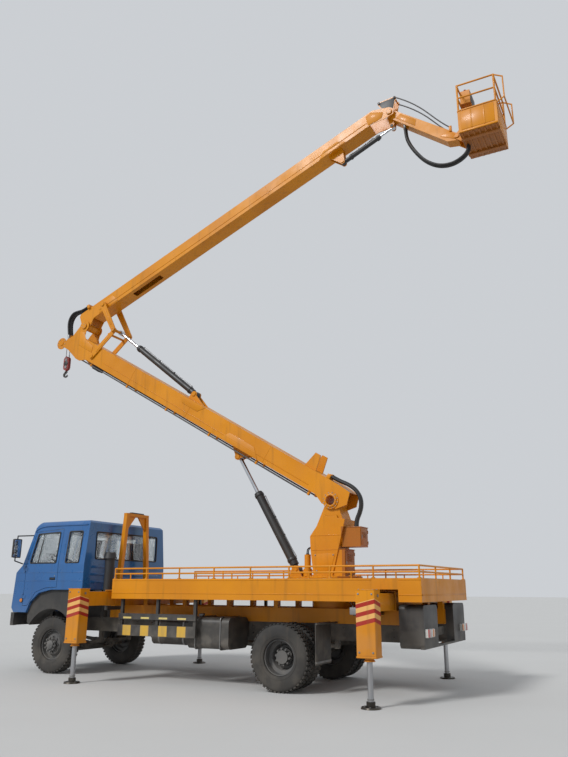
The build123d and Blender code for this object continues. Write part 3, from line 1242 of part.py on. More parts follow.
# Hook block: grooved sheave on the nose axle, two falls of rope, cheeked block and hook
with BuildPart() as hook_block:
    groove = [(axle_radius + run_gap, -20), (sheave_radius + 10, -20), (sheave_radius - 4, -4), (sheave_radius - 4, 4),
              (sheave_radius + 10, 20), (axle_radius + run_gap, 20)]
    with BuildSketch(Plane(origin=(nose[0], 0, nose[1]), x_dir=(1, 0, 0), z_dir=(0, 0, 1))):
        with BuildLine():
            Polyline(*groove, close=True)
        make_face()
    revolve(axis=Axis((nose[0], 0, nose[1]), (0, 1, 0)))
    for x in (nose[0] - sheave_radius, nose[0] + sheave_radius):
        add(bar((x, 0, nose[1]), (x, 0, nose[1] - 300), 6))
    block_top = nose[1] - 250
    block_low = nose[1] - 570
    add(rod(side_plane(), (nose[0], block_top - 75), 75, -34, 34))
    add(rod(side_plane(), (nose[0], block_low + 75), 75, -34, 34))
    add(block((nose[0] - 75, nose[0] + 75), (-34, 34), (block_low + 75, block_top - 75)))
    add(rod(Plane.XY, (nose[0], 0), 22, block_low - 40, block_low + 10))
    with BuildSketch(side_plane()):
        with BuildLine():
            hook_z = block_low - 105
            ThreePointArc((nose[0], hook_z + 72), (nose[0] + 52, hook_z - 42), (nose[0] - 50, hook_z - 18))
            ThreePointArc((nose[0] - 50, hook_z - 18), (nose[0] - 36, hook_z - 6), (nose[0] - 26, hook_z - 14))
            ThreePointArc((nose[0] - 26, hook_z - 14), (nose[0] + 26, hook_z - 18), (nose[0], hook_z + 34))
            Line((nose[0], hook_z + 34), (nose[0], hook_z + 72))
        make_face()
    extrude(amount=14, both=True)


def cord_tube(route, radius):
    """Tube along straight runs joined by arcs as large as their runs allow."""
    vectors = [Vector(*point) for point in route]
    radii = []
    for before, corner, after in zip(vectors, vectors[1:], vectors[2:]):
        turn = radians((corner - before).get_angle(after - corner))
        shorter = min((corner - before).length, (after - corner).length)
        radii.append(0.45 * shorter * cos(turn / 2) / sin(turn / 2))
    with BuildPart() as tube:
        with BuildLine() as path:
            FilletPolyline(*vectors, radius=radii)
        with BuildSketch(Plane(origin=vectors[0], z_dir=vectors[1] - vectors[0])):
            Circle(radius)
        sweep(path=path.wires()[0])
    length = path.wires()[0].length
    print("hose", round(length), "radii", [round(r) for r in radii], "volume",
          round(tube.part.volume / (pi * radius ** 2 * length), 4))
    return tube.part


# Hoses that hang free across the elbow, behind the column and below the jib
with BuildPart() as basket_hose:
    add(cord_tube(basket_route, hose_radius))
with BuildPart() as elbow_hose:
    add(cord_tube(elbow_route, hose_radius))
with BuildPart() as column_hose:
    add(cord_tube(column_route, hose_radius))

pieces = {
    **wheels, **knuckles, "front_axle": front_axle, "rear_axle": rear_axle, "leaf_springs": leaf_springs,
    "chassis_frame": chassis_frame, "subframe": subframe, "deck": deck, "deck_rails": deck_rails,
    "boom_rest": boom_rest, **outriggers, "engine_block": engine_block, "side_tanks": side_tanks,
    "side_guards": side_guards, "rear_box": rear_box, "cab_shell": cab_shell, "cab_glass": cab_glass, **doors,
    "seats": seats, "dashboard": dashboard, "bumper": bumper, "mudguards": mudguards, "mirrors": mirrors,
    "lamps": lamps, "air_intake": air_intake, "turret": turret, "luff_barrel": luff_barrel, "luff_rod": luff_rod,
    "lower_arm": lower_arm, "fold_barrel": fold_barrel, "fold_rod": fold_rod, "elbow_rocker": elbow_rocker,
    "elbow_link": elbow_link, "upper_arm": upper_arm, "jib_barrel": jib_barrel, "jib_rod": jib_rod, "jib": jib,
    "basket": basket, "hook_block": hook_block, "basket_hose": basket_hose, "elbow_hose": elbow_hose,
    "column_hose": column_hose,
}
for name, piece in pieces.items():
    piece.part.label = name
    export_step(piece.part, f"parts/{name}.step")
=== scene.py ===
import math
import bpy
from mathutils import Matrix, Vector


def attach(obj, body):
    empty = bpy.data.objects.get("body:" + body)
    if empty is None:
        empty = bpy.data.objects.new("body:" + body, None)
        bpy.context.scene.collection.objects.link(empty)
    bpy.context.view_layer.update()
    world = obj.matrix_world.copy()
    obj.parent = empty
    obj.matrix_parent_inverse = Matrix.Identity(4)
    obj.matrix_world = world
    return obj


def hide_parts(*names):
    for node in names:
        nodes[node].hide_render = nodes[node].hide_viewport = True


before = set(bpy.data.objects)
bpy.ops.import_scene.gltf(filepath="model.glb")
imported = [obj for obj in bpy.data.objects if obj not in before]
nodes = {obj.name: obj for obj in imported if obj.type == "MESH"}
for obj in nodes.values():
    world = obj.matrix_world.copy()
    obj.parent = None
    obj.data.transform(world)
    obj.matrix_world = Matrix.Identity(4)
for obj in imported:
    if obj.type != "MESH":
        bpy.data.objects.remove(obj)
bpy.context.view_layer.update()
bpy.ops.object.select_all(action="DESELECT")
sides = ((1, "left"), (-1, "right"))
print("frame loaded")

# camera, light and floor
shot = {
    "place": (-6.41, 10.86, 1.47), "yaw": -61.97, "pitch": 16.62, "roll": 0.17,
    "sensor": 36, "lens": 36 * 700 / 757, "reach": 500, "sky": (0.80, 0.83, 0.87), "skyStrength": 0.75,
    "sunTurn": (50, 8, 150), "sunStrength": 2.2, "sunAngle": 12,
    "floorSize": 240, "floorDrop": 0.001, "floorColour": (0.52, 0.52, 0.51), "floorShade": 0.93,
}


def setStage():
    bpy.ops.object.camera_add(location=shot["place"])
    camera = bpy.context.object
    yaw, pitch = math.radians(shot["yaw"]), math.radians(shot["pitch"])
    way = Vector((math.cos(pitch) * math.cos(yaw), math.cos(pitch) * math.sin(yaw), math.sin(pitch)))
    turn = way.to_track_quat("-Z", "Y").to_matrix() @ Matrix.Rotation(math.radians(shot["roll"]), 3, "Z")
    camera.rotation_euler = turn.to_euler()
    camera.data.lens = shot["lens"]
    camera.data.sensor_width = shot["sensor"]
    camera.data.sensor_fit = "AUTO"
    camera.data.clip_end = shot["reach"]
    bpy.context.scene.camera = camera

    world = bpy.data.worlds.new("paleSky")
    world.use_nodes = True
    background = world.node_tree.nodes["Background"]
    feed(background.inputs["Color"], shot["sky"])
    feed(background.inputs["Strength"], shot["skyStrength"])
    bpy.context.scene.world = world

    bpy.ops.object.light_add(type="SUN", rotation=[math.radians(a) for a in shot["sunTurn"]])
    bpy.context.object.data.energy = shot["sunStrength"]
    bpy.context.object.data.angle = math.radians(shot["sunAngle"])

    bpy.ops.mesh.primitive_plane_add(size=shot["floorSize"], location=(0, 0, -shot["floorDrop"]))
    floor = bpy.context.object
    floor.name = "floor"
    material, tree, shader, place = newMaterial("paleGround")
    shade = [c * shot["floorShade"] for c in shot["floorColour"]]
    feed(shader.inputs["Base Color"], mixColours(noiseOn(place, 0.6, 6), shot["floorColour"], shade))
    feed(shader.inputs["Roughness"], 0.95)
    floor.data.materials.append(material)
    bpy.context.scene.view_settings.view_transform = "Standard"


# finishes
def newMaterial(name):
    material = bpy.data.materials.new(name)
    material.use_nodes = True
    tree = material.node_tree
    place = tree.nodes.new("ShaderNodeTexCoord").outputs["Object"]
    return material, tree, tree.nodes["Principled BSDF"], place


def isSocket(value):
    return isinstance(value, bpy.types.NodeSocket)


def feed(socket, value):  # an output is linked, a number or a colour is set
    if isSocket(value):
        socket.id_data.links.new(value, socket)
    else:
        socket.default_value = (*value, 1) if isinstance(value, (tuple, list)) else value


def addNode(tree, kind, **values):
    node = tree.nodes.new(kind)
    for key, value in values.items():
        node.inputs[key.replace("_", " ")].default_value = value
    return node


def mixColours(factor, first, second):
    mix = factor.id_data.nodes.new("ShaderNodeMix")
    mix.data_type = "RGBA"
    for key, value in (("Factor", factor), ("A", first), ("B", second)):
        feed(mix.inputs[key], value)
    return mix.outputs["Result"]


def calc(operation, first, second=0.0, clamp=False):
    node = (first if isSocket(first) else second).id_data.nodes.new("ShaderNodeMath")
    node.operation = operation
    node.use_clamp = clamp
    feed(node.inputs[0], first)
    feed(node.inputs[1], second)
    return node.outputs["Value"]


def plus(first, second):
    return calc("ADD", first, second)


def minus(first, second):
    return calc("SUBTRACT", first, second)


def times(first, second):
    return calc("MULTIPLY", first, second)


def over(first, second):
    return calc("DIVIDE", first, second)


def above(first, second):
    return calc("GREATER_THAN", first, second)


def below(first, second):
    return calc("LESS_THAN", first, second)


def between(value, low, high):  # 1 inside the range, 0 outside
    return times(above(value, low), below(value, high))


def offCentre(value):  # how far a number is from the middle between two whole ones
    return calc("ABSOLUTE", minus(calc("FRACT", value), 0.5))


def noiseOn(vector, scale, detail=3.0, stretch=None):
    if stretch:
        mapping = addNode(vector.id_data, "ShaderNodeMapping", Scale=stretch)
        feed(mapping.inputs["Vector"], vector)
        vector = mapping.outputs["Vector"]
    noise = addNode(vector.id_data, "ShaderNodeTexNoise", Scale=scale, Detail=detail)
    feed(noise.inputs["Vector"], vector)
    return noise.outputs["Fac"]


def ramp(value, low, high, outLow=0.0, outHigh=1.0):
    node = addNode(value.id_data, "ShaderNodeMapRange", From_Min=low, From_Max=high, To_Min=outLow,
                   To_Max=outHigh)
    node.interpolation_type = "SMOOTHSTEP"
    feed(node.inputs["Value"], value)
    return node.outputs["Result"]


def bumped(height, normal=None, **values):
    bump = addNode(height.id_data, "ShaderNodeBump", **values)
    feed(bump.inputs["Height"], height)
    if normal:
        feed(bump.inputs["Normal"], normal)
    return bump.outputs["Normal"]


def paintFinish(name, colour, shade, grime, roughness, look):
    material, tree, shader, place = newMaterial(name)
    axes = addNode(tree, "ShaderNodeSeparateXYZ")
    feed(axes.inputs["Vector"], place)
    axes = axes.outputs
    tint = mixColours(ramp(noiseOn(place, 0.9, 4), 0.35, 0.65), colour, shade)
    if "marks" in look:
        tint = look["marks"](axes, tint)
    streak = ramp(noiseOn(place, 2.2, 6, (5, 5, 0.5)), 0.52, 0.72)
    tint = mixColours(times(streak, look.get("streak", 0.25)), tint, grime)
    height = ramp(axes["Z"], 0.3, look.get("dustHigh", 1.5), 1, 0)
    speck = ramp(noiseOn(place, 5, 8), 0.38, 0.62, 0.35, 1)
    dusty = times(times(height, speck), look.get("dust", 0.35))
    feed(shader.inputs["Base Color"], mixColours(dusty, tint, (0.30, 0.26, 0.21)))
    rough = ramp(noiseOn(place, 3.5, 5), 0.3, 0.7, roughness - 0.07, roughness + 0.1)
    feed(shader.inputs["Roughness"], calc("ADD", rough, times(dusty, 0.5), True))
    feed(shader.inputs["Metallic"], look.get("metal", 0.0))
    feed(shader.inputs["Specular IOR Level"], look.get("shine", 0.5))
    if "coat" in look:
        feed(shader.inputs["Coat Weight"], look["coat"])
        feed(shader.inputs["Coat Roughness"], 0.12)
    normal = None
    if "round" in look:
        edge = addNode(tree, "ShaderNodeBevel", Radius=look["round"])
        edge.samples = 4
        normal = edge.outputs["Normal"]
    normal = bumped(noiseOn(place, 2.8, 1), normal, Strength=look.get("wavy", 0.10), Distance=0.02)
    if "relief" in look:
        normal = bumped(look["relief"](axes), normal, Strength=0.6, Distance=0.0025)
    peel = noiseOn(place, look.get("peelScale", 140), 2)
    feed(shader.inputs["Normal"], bumped(peel, normal, Strength=look.get("peel", 0.05), Distance=0.002))
    return material


legMarks = {"frontX": 2.24, "rearX": -2.84, "outer": 1.66, "leg": 1.78, "slant": 0.25, "low": 0.985,
            "high": 1.275, "pitch": 0.113, "share": 0.47, "red": (0.36, 0.018, 0.010),
            "pale": (0.74, 0.40, 0.12)}


def chevronMarks(axes, colour):  # red carets on the upright legs, apex at the rear outer corner
    facts = legMarks
    across = calc("ABSOLUTE", axes["Y"])
    legX = times(above(axes["X"], 0.0), facts["frontX"] - facts["rearX"])
    slant = minus(minus(minus(axes["X"], facts["rearX"]), legX), minus(across, facts["leg"]))
    rise = plus(axes["Z"], times(slant, facts["slant"]))
    onLeg = times(between(rise, facts["low"], facts["high"]), above(across, facts["outer"]))
    band = calc("FRACT", over(minus(rise, facts["low"]), facts["pitch"]))
    colour = mixColours(onLeg, colour, facts["pale"])
    return mixColours(times(onLeg, below(band, facts["share"])), colour, facts["red"])


guardMarks = {"first": 0.58, "pitch": 0.37, "half": 0.085, "ends": (0.40, 1.90),
              "rows": (((0.705, 0.865), (0.62, 0.36, 0.02)), ((0.968, 0.996), (0.66, 0.52, 0.16)))}


def squareMarks(axes, colour):  # yellow squares and dashes along the black side guards
    along = plus(over(minus(axes["X"], guardMarks["first"]), guardMarks["pitch"]), 0.5)
    inSquare = below(offCentre(along), guardMarks["half"] / guardMarks["pitch"])
    inSquare = times(inSquare, between(axes["X"], *guardMarks["ends"]))
    for heights, tone in guardMarks["rows"]:
        colour = mixColours(times(inSquare, between(axes["Z"], *heights)), colour, tone)
    return colour


def darkFoot(axes, colour):  # the jack's foot plate is dark, its rod bright
    return mixColours(below(axes["Z"], 0.083), colour, (0.03, 0.028, 0.026))


def rustyCabinets(axes, colour):  # the boxes behind the column are a browner orange
    return mixColours(times(below(axes["X"], -1.795), below(axes["Z"], 2.42)), colour, (0.36, 0.12, 0.012))


def hookTones(axes, colour):  # the hook is dark and its ropes are bare steel
    colour = mixColours(below(axes["Z"], 6.055), colour, (0.035, 0.033, 0.032))
    return mixColours(above(axes["Z"], 6.402), colour, (0.12, 0.11, 0.10))


chequer = {"cell": 0.034, "wide": 0.15, "long": 0.42, "top": 1.5985}


def chequerHeight(axes):  # crossed raised bars on the deck's top
    first = over(plus(axes["X"], axes["Y"]), chequer["cell"])
    second = over(minus(axes["X"], axes["Y"]), chequer["cell"])
    odd = above(calc("FRACT", times(plus(calc("FLOOR", first), calc("FLOOR", second)), 0.5)), 0.25)
    a, b = offCentre(first), offCentre(second)
    bars = times(times(below(a, chequer["wide"]), below(b, chequer["long"])), odd)
    crossed = times(times(below(b, chequer["wide"]), below(a, chequer["long"])), minus(1.0, odd))
    return times(plus(bars, crossed), above(axes["Z"], chequer["top"]))


amber = ((0.64, 0.240, 0.0030), (0.56, 0.200, 0.0028), (0.20, 0.092, 0.012))
lamp = {"coat": 0.8, "peel": 0.3, "peelScale": 90}
finishes = {  # colour, its second shade, grime, roughness, and what else the finish has
    "amber": (*amber, 0.42, {"shine": 0.26, "coat": 0.08, "round": 0.006, "dust": 0.14}),
    "amberDeck": (*amber, 0.45, {"shine": 0.26, "coat": 0.08, "round": 0.004, "dust": 0.2,
                                 "relief": chequerHeight}),
    "amberTurret": (*amber, 0.42, {"shine": 0.26, "coat": 0.08, "round": 0.008, "marks": rustyCabinets}),
    "amberLeg": (*amber, 0.42, {"shine": 0.26, "coat": 0.08, "round": 0.006, "dust": 0.2,
                                "marks": chevronMarks}),
    "rustOrange": ((0.36, 0.12, 0.012), (0.30, 0.10, 0.012), (0.12, 0.06, 0.02), 0.5, {"round": 0.003}),
    "cabBlue": ((0.009, 0.105, 0.31), (0.007, 0.085, 0.26), (0.03, 0.06, 0.12), 0.30,
                {"coat": 0.5, "round": 0.012, "dust": 0.35}),
    "blackPaint": ((0.016, 0.016, 0.018), (0.024, 0.023, 0.022), (0.06, 0.05, 0.04), 0.45, {"round": 0.004}),
    "guardBlack": ((0.018, 0.018, 0.020), (0.026, 0.025, 0.024), (0.07, 0.06, 0.05), 0.5,
                   {"round": 0.003, "marks": squareMarks}),
    "chassisBlack": ((0.020, 0.020, 0.022), (0.035, 0.032, 0.028), (0.10, 0.075, 0.05), 0.62,
                     {"dust": 0.55, "round": 0.004}),
    "darkGrey": ((0.045, 0.046, 0.05), (0.06, 0.058, 0.056), (0.10, 0.08, 0.06), 0.5, {"round": 0.004}),
    "castGrey": ((0.07, 0.07, 0.07), (0.10, 0.095, 0.09), (0.04, 0.035, 0.03), 0.7,
                 {"peel": 0.3, "peelScale": 60}),
    "rimGrey": ((0.060, 0.062, 0.066), (0.09, 0.09, 0.09), (0.08, 0.065, 0.05), 0.55,
                {"dust": 0.22, "dustHigh": 1.1, "round": 0.003}),
    "chromeRod": ((0.60, 0.62, 0.65), (0.52, 0.54, 0.57), (0.25, 0.22, 0.18), 0.16,
                  {"metal": 1.0, "peel": 0.02, "wavy": 0.02, "streak": 0.1, "dust": 0.1}),
    "jackSteel": ((0.50, 0.51, 0.53), (0.40, 0.41, 0.43), (0.20, 0.17, 0.14), 0.28,
                  {"metal": 0.9, "wavy": 0.03, "dust": 0.25, "marks": darkFoot}),
    "blackPlastic": ((0.018, 0.018, 0.019), (0.028, 0.027, 0.026), (0.07, 0.06, 0.05), 0.55,
                     {"peel": 0.2, "peelScale": 320, "round": 0.005}),
    "tyreBlack": ((0.018, 0.018, 0.018), (0.030, 0.028, 0.026), (0.09, 0.07, 0.05), 0.80,
                  {"peel": 0.25, "peelScale": 210, "dust": 0.16, "dustHigh": 1.1}),
    "hoseBlack": ((0.014, 0.014, 0.015), (0.022, 0.021, 0.020), (0.05, 0.04, 0.03), 0.5,
                  {"peel": 0.3, "peelScale": 180}),
    "hookRed": ((0.30, 0.02, 0.015), (0.24, 0.02, 0.015), (0.05, 0.03, 0.02), 0.5, {"marks": hookTones}),
    "seatCloth": ((0.030, 0.034, 0.042), (0.045, 0.048, 0.055), (0.08, 0.07, 0.06), 0.9,
                  {"peel": 0.6, "peelScale": 420, "streak": 0.05}),
    "steelGrey": ((0.30, 0.30, 0.30), (0.24, 0.24, 0.24), (0.15, 0.11, 0.07), 0.4, {"metal": 0.8}),
    "mirrorGlass": ((0.70, 0.72, 0.74), (0.62, 0.64, 0.66), (0.4, 0.38, 0.34), 0.12,
                    {"metal": 1.0, "peel": 0.01, "wavy": 0.01, "streak": 0.05}),
    "lampLens": ((0.55, 0.55, 0.52), (0.50, 0.50, 0.47), (0.2, 0.18, 0.15), 0.15, {**lamp, "coat": 0.6}),
    "lampRed": ((0.45, 0.01, 0.008), (0.38, 0.01, 0.008), (0.15, 0.03, 0.02), 0.15, lamp),
    "lampAmber": ((0.65, 0.20, 0.01), (0.60, 0.18, 0.01), (0.2, 0.1, 0.02), 0.15, lamp),
}


def glassFinish():
    material, tree, shader, place = newMaterial("cabGlass")
    feed(shader.inputs["Base Color"], mixColours(noiseOn(place, 3, 3), (0.62, 0.70, 0.72),
                                                 (0.54, 0.62, 0.64)))
    feed(shader.inputs["Roughness"], ramp(noiseOn(place, 6, 6), 0.4, 0.7, 0.03, 0.12))
    for key, value in (("Transmission Weight", 1.0), ("IOR", 1.45), ("Alpha", 0.45)):
        feed(shader.inputs[key], value)
    return material


paints = {name: paintFinish(name, *look) for name, look in finishes.items()}
paints["glass"] = glassFinish()
nodePaints = {
    "amber": "subframe deck_rails boom_rest lower_arm elbow_rocker elbow_link upper_arm jib basket",
    "amberDeck": "deck", "amberTurret": "turret", "cabBlue": "cab_shell door_left door_right",
    "amberLeg": "leg_front_left leg_front_right leg_rear_left leg_rear_right",
    "blackPaint": "luff_barrel fold_barrel jib_barrel side_tanks rear_box", "guardBlack": "side_guards",
    "chassisBlack": "knuckle_left knuckle_right front_axle rear_axle leaf_springs chassis_frame",
    "jackSteel": "jack_front_left jack_front_right jack_rear_left jack_rear_right",
    "castGrey": "engine_block",
    "chromeRod": "luff_rod fold_rod jib_rod", "blackPlastic": "dashboard bumper mudguards mirrors air_intake",
    "glass": "cab_glass door_glass_left door_glass_right", "seatCloth": "seats", "lampLens": "lamps",
    "tyreBlack": "tyre_front_left tyre_front_right tyre_rear_left tyre_rear_right", "hookRed": "hook_block",
    "rimGrey": "rim_front_left rim_front_right rim_rear_left rim_rear_right",
    "hoseBlack": "column_hose elbow_hose basket_hose",
}
for paint, names in nodePaints.items():
    for nodeName in names.split():
        nodes[nodeName].data.materials.clear()
        nodes[nodeName].data.materials.append(paints[paint])
print("finishes", len(paints))
setStage()

# ways of shaping
nearAxis = 0.0005  # a turned shape's smallest radius
armFrames = {  # origin, angle in the side view and which way is up, for the two arms and the jib
    "lower": ((-1.62, 0, 2.85), 30.9, 1), "upper": ((4.2224, 0, 6.9526), 157.6, -1),
    "jib": ((-2.9197, 0, 9.9753), 216.9, -1),
}


def turnedFrame(origin, along, up):
    return Matrix.Translation(origin) @ Matrix((along, up.cross(along), up)).transposed().to_4x4()


def frameMatrix(frameName):
    if frameName not in armFrames:
        return Matrix.Identity(4)
    origin, angle, upward = armFrames[frameName]
    c, s = math.cos(math.radians(angle)), math.sin(math.radians(angle))
    return turnedFrame(origin, Vector((c, 0, s)), Vector((-s, 0, c)) * upward)


def choose(*pieces):
    bpy.ops.object.select_all(action="DESELECT")
    for piece in pieces[::-1]:
        piece.select_set(True)
        bpy.context.view_layer.objects.active = piece


def joined(parts):
    choose(*parts)
    if len(parts) > 1:
        bpy.ops.object.join()
    return bpy.context.object


def painted(piece, paint):
    if paint:
        piece.data.materials.clear()
        piece.data.materials.append(paints[paint])
    return piece


def applyModifier(piece, kind, **settings):
    modifier = piece.modifiers.new(kind.lower(), kind)
    for key, value in settings.items():
        setattr(modifier, key, value)
    bpy.context.view_layer.objects.active = piece
    bpy.ops.object.modifier_apply(modifier=modifier.name)


def finished(paint, edge=0, steps=2, limit=30):  # the new primitive, placed in its mesh, bevelled and painted
    piece = bpy.context.object
    choose(piece)
    bpy.ops.object.transform_apply(location=True, rotation=True, scale=True)
    if edge:
        applyModifier(piece, "BEVEL", width=edge, segments=steps, limit_method="ANGLE",
                      angle_limit=math.radians(limit))
    return painted(piece, paint)


def block(low, high, edge=0.004, paint=None, steps=2):
    choose()
    centre = [(a + b) / 2 for a, b in zip(low, high)]
    bpy.ops.mesh.primitive_cube_add(size=1, location=centre, scale=[abs(b - a) for a, b in zip(low, high)])
    return finished(paint, edge, steps)


def roundBar(start, end, radius, sides=16, edge=0.0, paint=None):
    start, end = Vector(start), Vector(end)
    choose()
    bpy.ops.mesh.primitive_cylinder_add(vertices=sides, radius=radius, depth=(end - start).length,
                                        location=(start + end) / 2,
                                        rotation=(end - start).to_track_quat("Z", "Y").to_euler())
    return finished(paint, edge, limit=50)


def tidyFaces(merge=0.0):
    bpy.ops.mesh.select_all(action="SELECT")
    if merge:
        bpy.ops.mesh.remove_doubles(threshold=merge)
    bpy.ops.mesh.normals_make_consistent(inside=False)
    bpy.ops.object.mode_set(mode="OBJECT")


def plate(outline, low, high, across="y", edge=0.003, paint=None):
    choose()
    bpy.ops.mesh.primitive_circle_add(vertices=len(outline), radius=1, fill_type="NGON")
    place = "xyz".index(across)
    for vertex, point in zip(bpy.context.object.data.vertices, outline):
        vertex.co = (*point[:place], low, *point[place:])
    bpy.ops.object.mode_set(mode="EDIT")
    bpy.ops.mesh.select_all(action="SELECT")
    step = [high - low if axis == across else 0 for axis in "xyz"]
    bpy.ops.mesh.extrude_region_move(TRANSFORM_OT_translate={"value": step})
    tidyFaces()
    return finished(paint, edge)


def turned(profile, centre, axis, steps=64, paint=None):
    choose()
    bpy.ops.mesh.primitive_circle_add(vertices=len(profile), radius=1, fill_type="NOTHING", location=centre)
    axis = Vector(axis)
    out = axis.orthogonal().normalized()
    for vertex, (radius, offset) in zip(bpy.context.object.data.vertices, profile):
        vertex.co = out * radius + axis * offset
    bpy.ops.object.mode_set(mode="EDIT")
    bpy.ops.mesh.select_all(action="SELECT")
    bpy.ops.mesh.spin(steps=steps, angle=2 * math.pi, center=centre, axis=axis, use_auto_merge=True)
    tidyFaces(0.0001)
    return finished(paint)


# turned, and closed on the axis where its ends are open
def knob(profile, centre, axis, steps=36, paint=None):
    first, last = profile[0], profile[-1]
    start, end = ([] if radius == nearAxis else [(nearAxis, offset)] for radius, offset in (first, last))
    return turned([*start, *profile, *end], centre, axis, steps, paint)


def discCap(centre, way, radius, thick, paint=None):
    return knob([(radius, 0.0), (radius, thick * 0.6), (radius - thick * 0.5, thick)], centre, way, 36, paint)


def band(radius, half, centre):  # a thin strap round a tank that lies along x
    inner, outer = radius + 0.0005, radius + 0.004
    return turned([(inner, -half), (outer, -half), (outer, half), (inner, half)], centre, (1, 0, 0), 40,
                  "steelGrey")


def runCurve(name, points, radius, smooth=3, steps=5, closed=False):
    curve = bpy.data.curves.new(name, "CURVE")
    curve.dimensions = "3D"
    curve.bevel_depth = radius
    curve.bevel_resolution = smooth
    curve.resolution_u = steps
    curve.use_fill_caps = True
    spline = curve.splines.new("NURBS")
    spline.points.add(len(points) - 1)
    for spot, place in zip(spline.points, points):
        spot.co = (*place, 1)
    spline.use_cyclic_u = closed
    spline.order_u = 3
    spline.use_endpoint_u = not closed
    run = bpy.data.objects.new(name, curve)
    bpy.context.collection.objects.link(run)
    return run


def pipe(points, radius, paint=None, closed=False):
    choose(runCurve("run", points, radius, closed=closed))
    bpy.ops.object.convert(target="MESH")
    return painted(bpy.context.object, paint)


def copies(piece, matrices, keep=False):
    made = []
    for matrix in matrices:
        twin = piece.copy()
        twin.data = piece.data.copy()
        bpy.context.collection.objects.link(twin)
        twin.data.transform(matrix)
        made.append(twin)
    if not keep:
        bpy.data.objects.remove(piece)
    return made


def flipped(parts, keep=False):  # the same parts on the truck's other side
    made = [copies(part, [Matrix.Diagonal((1, -1, 1, 1))], keep)[0] for part in parts]
    for twin in made:
        twin.data.flip_normals()
    return made


def bothSides(*parts):
    return [*parts, *flipped(parts, keep=True)]


def finishPiece(name, parts, body, paint="amber", frameName="truck", smooth=38, stands=()):
    for part in parts:
        if not part.data.materials:
            painted(part, paint)
    piece = joined(parts)
    piece.data.transform(frameMatrix(frameName))
    piece.name = name
    piece.data.name = name
    bpy.ops.object.shade_smooth_by_angle(angle=math.radians(smooth))
    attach(piece, body)
    if stands:
        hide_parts(*stands)
    return piece


# one piece on each side, on the truck or on the side's own body
def finishPair(name, make, body, paint):
    for side, sideName in sides:
        parts = make() if side == 1 else flipped(make())
        finishPiece(f"{name}_{sideName}", parts, body.replace("SIDE", sideName), paint)


def boltsOn(places, way, radius, height, paint="steelGrey"):
    head = roundBar((0, 0, 0), (0, 0, height), radius, 6, radius * 0.12, paint)
    washer = roundBar((0, 0, -height * 0.05), (0, 0, height * 0.18), radius * 1.35, 16, 0, paint)
    turn = Vector((0, 0, 1)).rotation_difference(Vector(way)).to_matrix().to_4x4()
    return copies(joined([head, washer]), [Matrix.Translation(place) @ turn for place in places])


def ringPlaces(centre, axis, radius, count, start=0.0):
    axis = Vector(axis)
    first = axis.orthogonal().normalized()
    return [Vector(centre) + Matrix.Rotation(start + 2 * math.pi * i / count, 3, axis) @ first * radius
            for i in range(count)]


def boltRing(centre, axis, ring, count, radius, height, start=0.0, paint="steelGrey"):
    return boltsOn(ringPlaces(centre, axis, ring, count, start), axis, radius, height, paint)


# tyres and hubs
wheelFacts = {
    "radius": 0.480, "half": 0.1175, "lugs": 44, "lugDepth": 0.016, "height": 0.48, "nuts": 10,
    "ends": {"front": ("frontTyre", 3.53, (0.922,), 1.036),
             "rear": ("twinTyres", -1.17, (0.760, 1.062), 1.021)},
    "lugRows": ((0.052, 0.1045, 0.22, 0.0, 0.021), (-0.1045, -0.052, -0.22, 0.5, 0.021),
                (0.004, 0.046, -0.3, 0.25, 0.024), (-0.046, -0.004, 0.3, 0.75, 0.024)),
}


def treadedTyre(centreY, x):
    r, h = wheelFacts["radius"], wheelFacts["half"]
    base = r - wheelFacts["lugDepth"]
    wall = [(0.258, 0.078), (0.262, 0.098), (0.285, 0.110), (0.335, h), (0.392, h - 0.001), (0.430, 0.109),
            (base - 0.008, 0.100), (base, 0.088), (base, 0.03)]
    parts = [turned([(high, -out) for high, out in wall] + wall[::-1], (0, 0, 0), (0, 1, 0), 88)]
    for low in (0.300, 0.388):  # beads round both walls
        ring = [(low, 0.1125), (low + 0.004, 0.1165), (low + 0.008, 0.1125)]
        parts += bothSides(turned(ring, (0, 0, 0), (0, 1, 0), 72))
    pitch = 2 * math.pi / wheelFacts["lugs"]
    for low, high, skew, shift, wide in wheelFacts["lugRows"]:
        lean = skew * (high - low)
        lug = plate([(-wide, low), (wide, low), (wide + lean, high), (lean - wide, high)], base - 0.004,
                    r - 0.0005, "z", 0.002)
        parts += copies(lug, [Matrix.Rotation(pitch * (i + shift), 4, "Y")
                              for i in range(wheelFacts["lugs"])])
    for part in parts:
        part.data.transform(Matrix.Translation((x, centreY, wheelFacts["height"])))
    return parts


def hubDetail(x, face):
    z, way = wheelFacts["height"], (0, 1, 0)
    parts = boltRing((x, face, z), way, 0.112, wheelFacts["nuts"], 0.017, 0.026, paint="rimGrey")
    parts += boltRing((x, face + 0.016, z), way, 0.058, 8, 0.006, 0.010, 0.2)
    cap = knob([(0.074, 0.0), (0.078, 0.006), (0.072, 0.020), (0.045, 0.030), (nearAxis, 0.033)],
               (x, face, z), way, 40)
    valve = roundBar((x + 0.02, face, z + 0.205), (x + 0.02, face + 0.05, z + 0.185), 0.005, 10, 0.001,
                     "steelGrey")
    return [*parts, cap, valve]


for end, (label, x, yPlaces, face) in wheelFacts["ends"].items():
    for side, sideName in sides:
        tyres = [part for y in yPlaces for part in treadedTyre(side * y, x)]
        finishPiece(f"{label}_{sideName}", tyres, f"wheel_{end}_{sideName}", "tyreBlack",
                    stands=[f"tyre_{end}_{sideName}"])
    finishPair(f"{end}Hub", lambda: hubDetail(x, face), f"wheel_{end}_SIDE", "rimGrey")
print("tyres done")

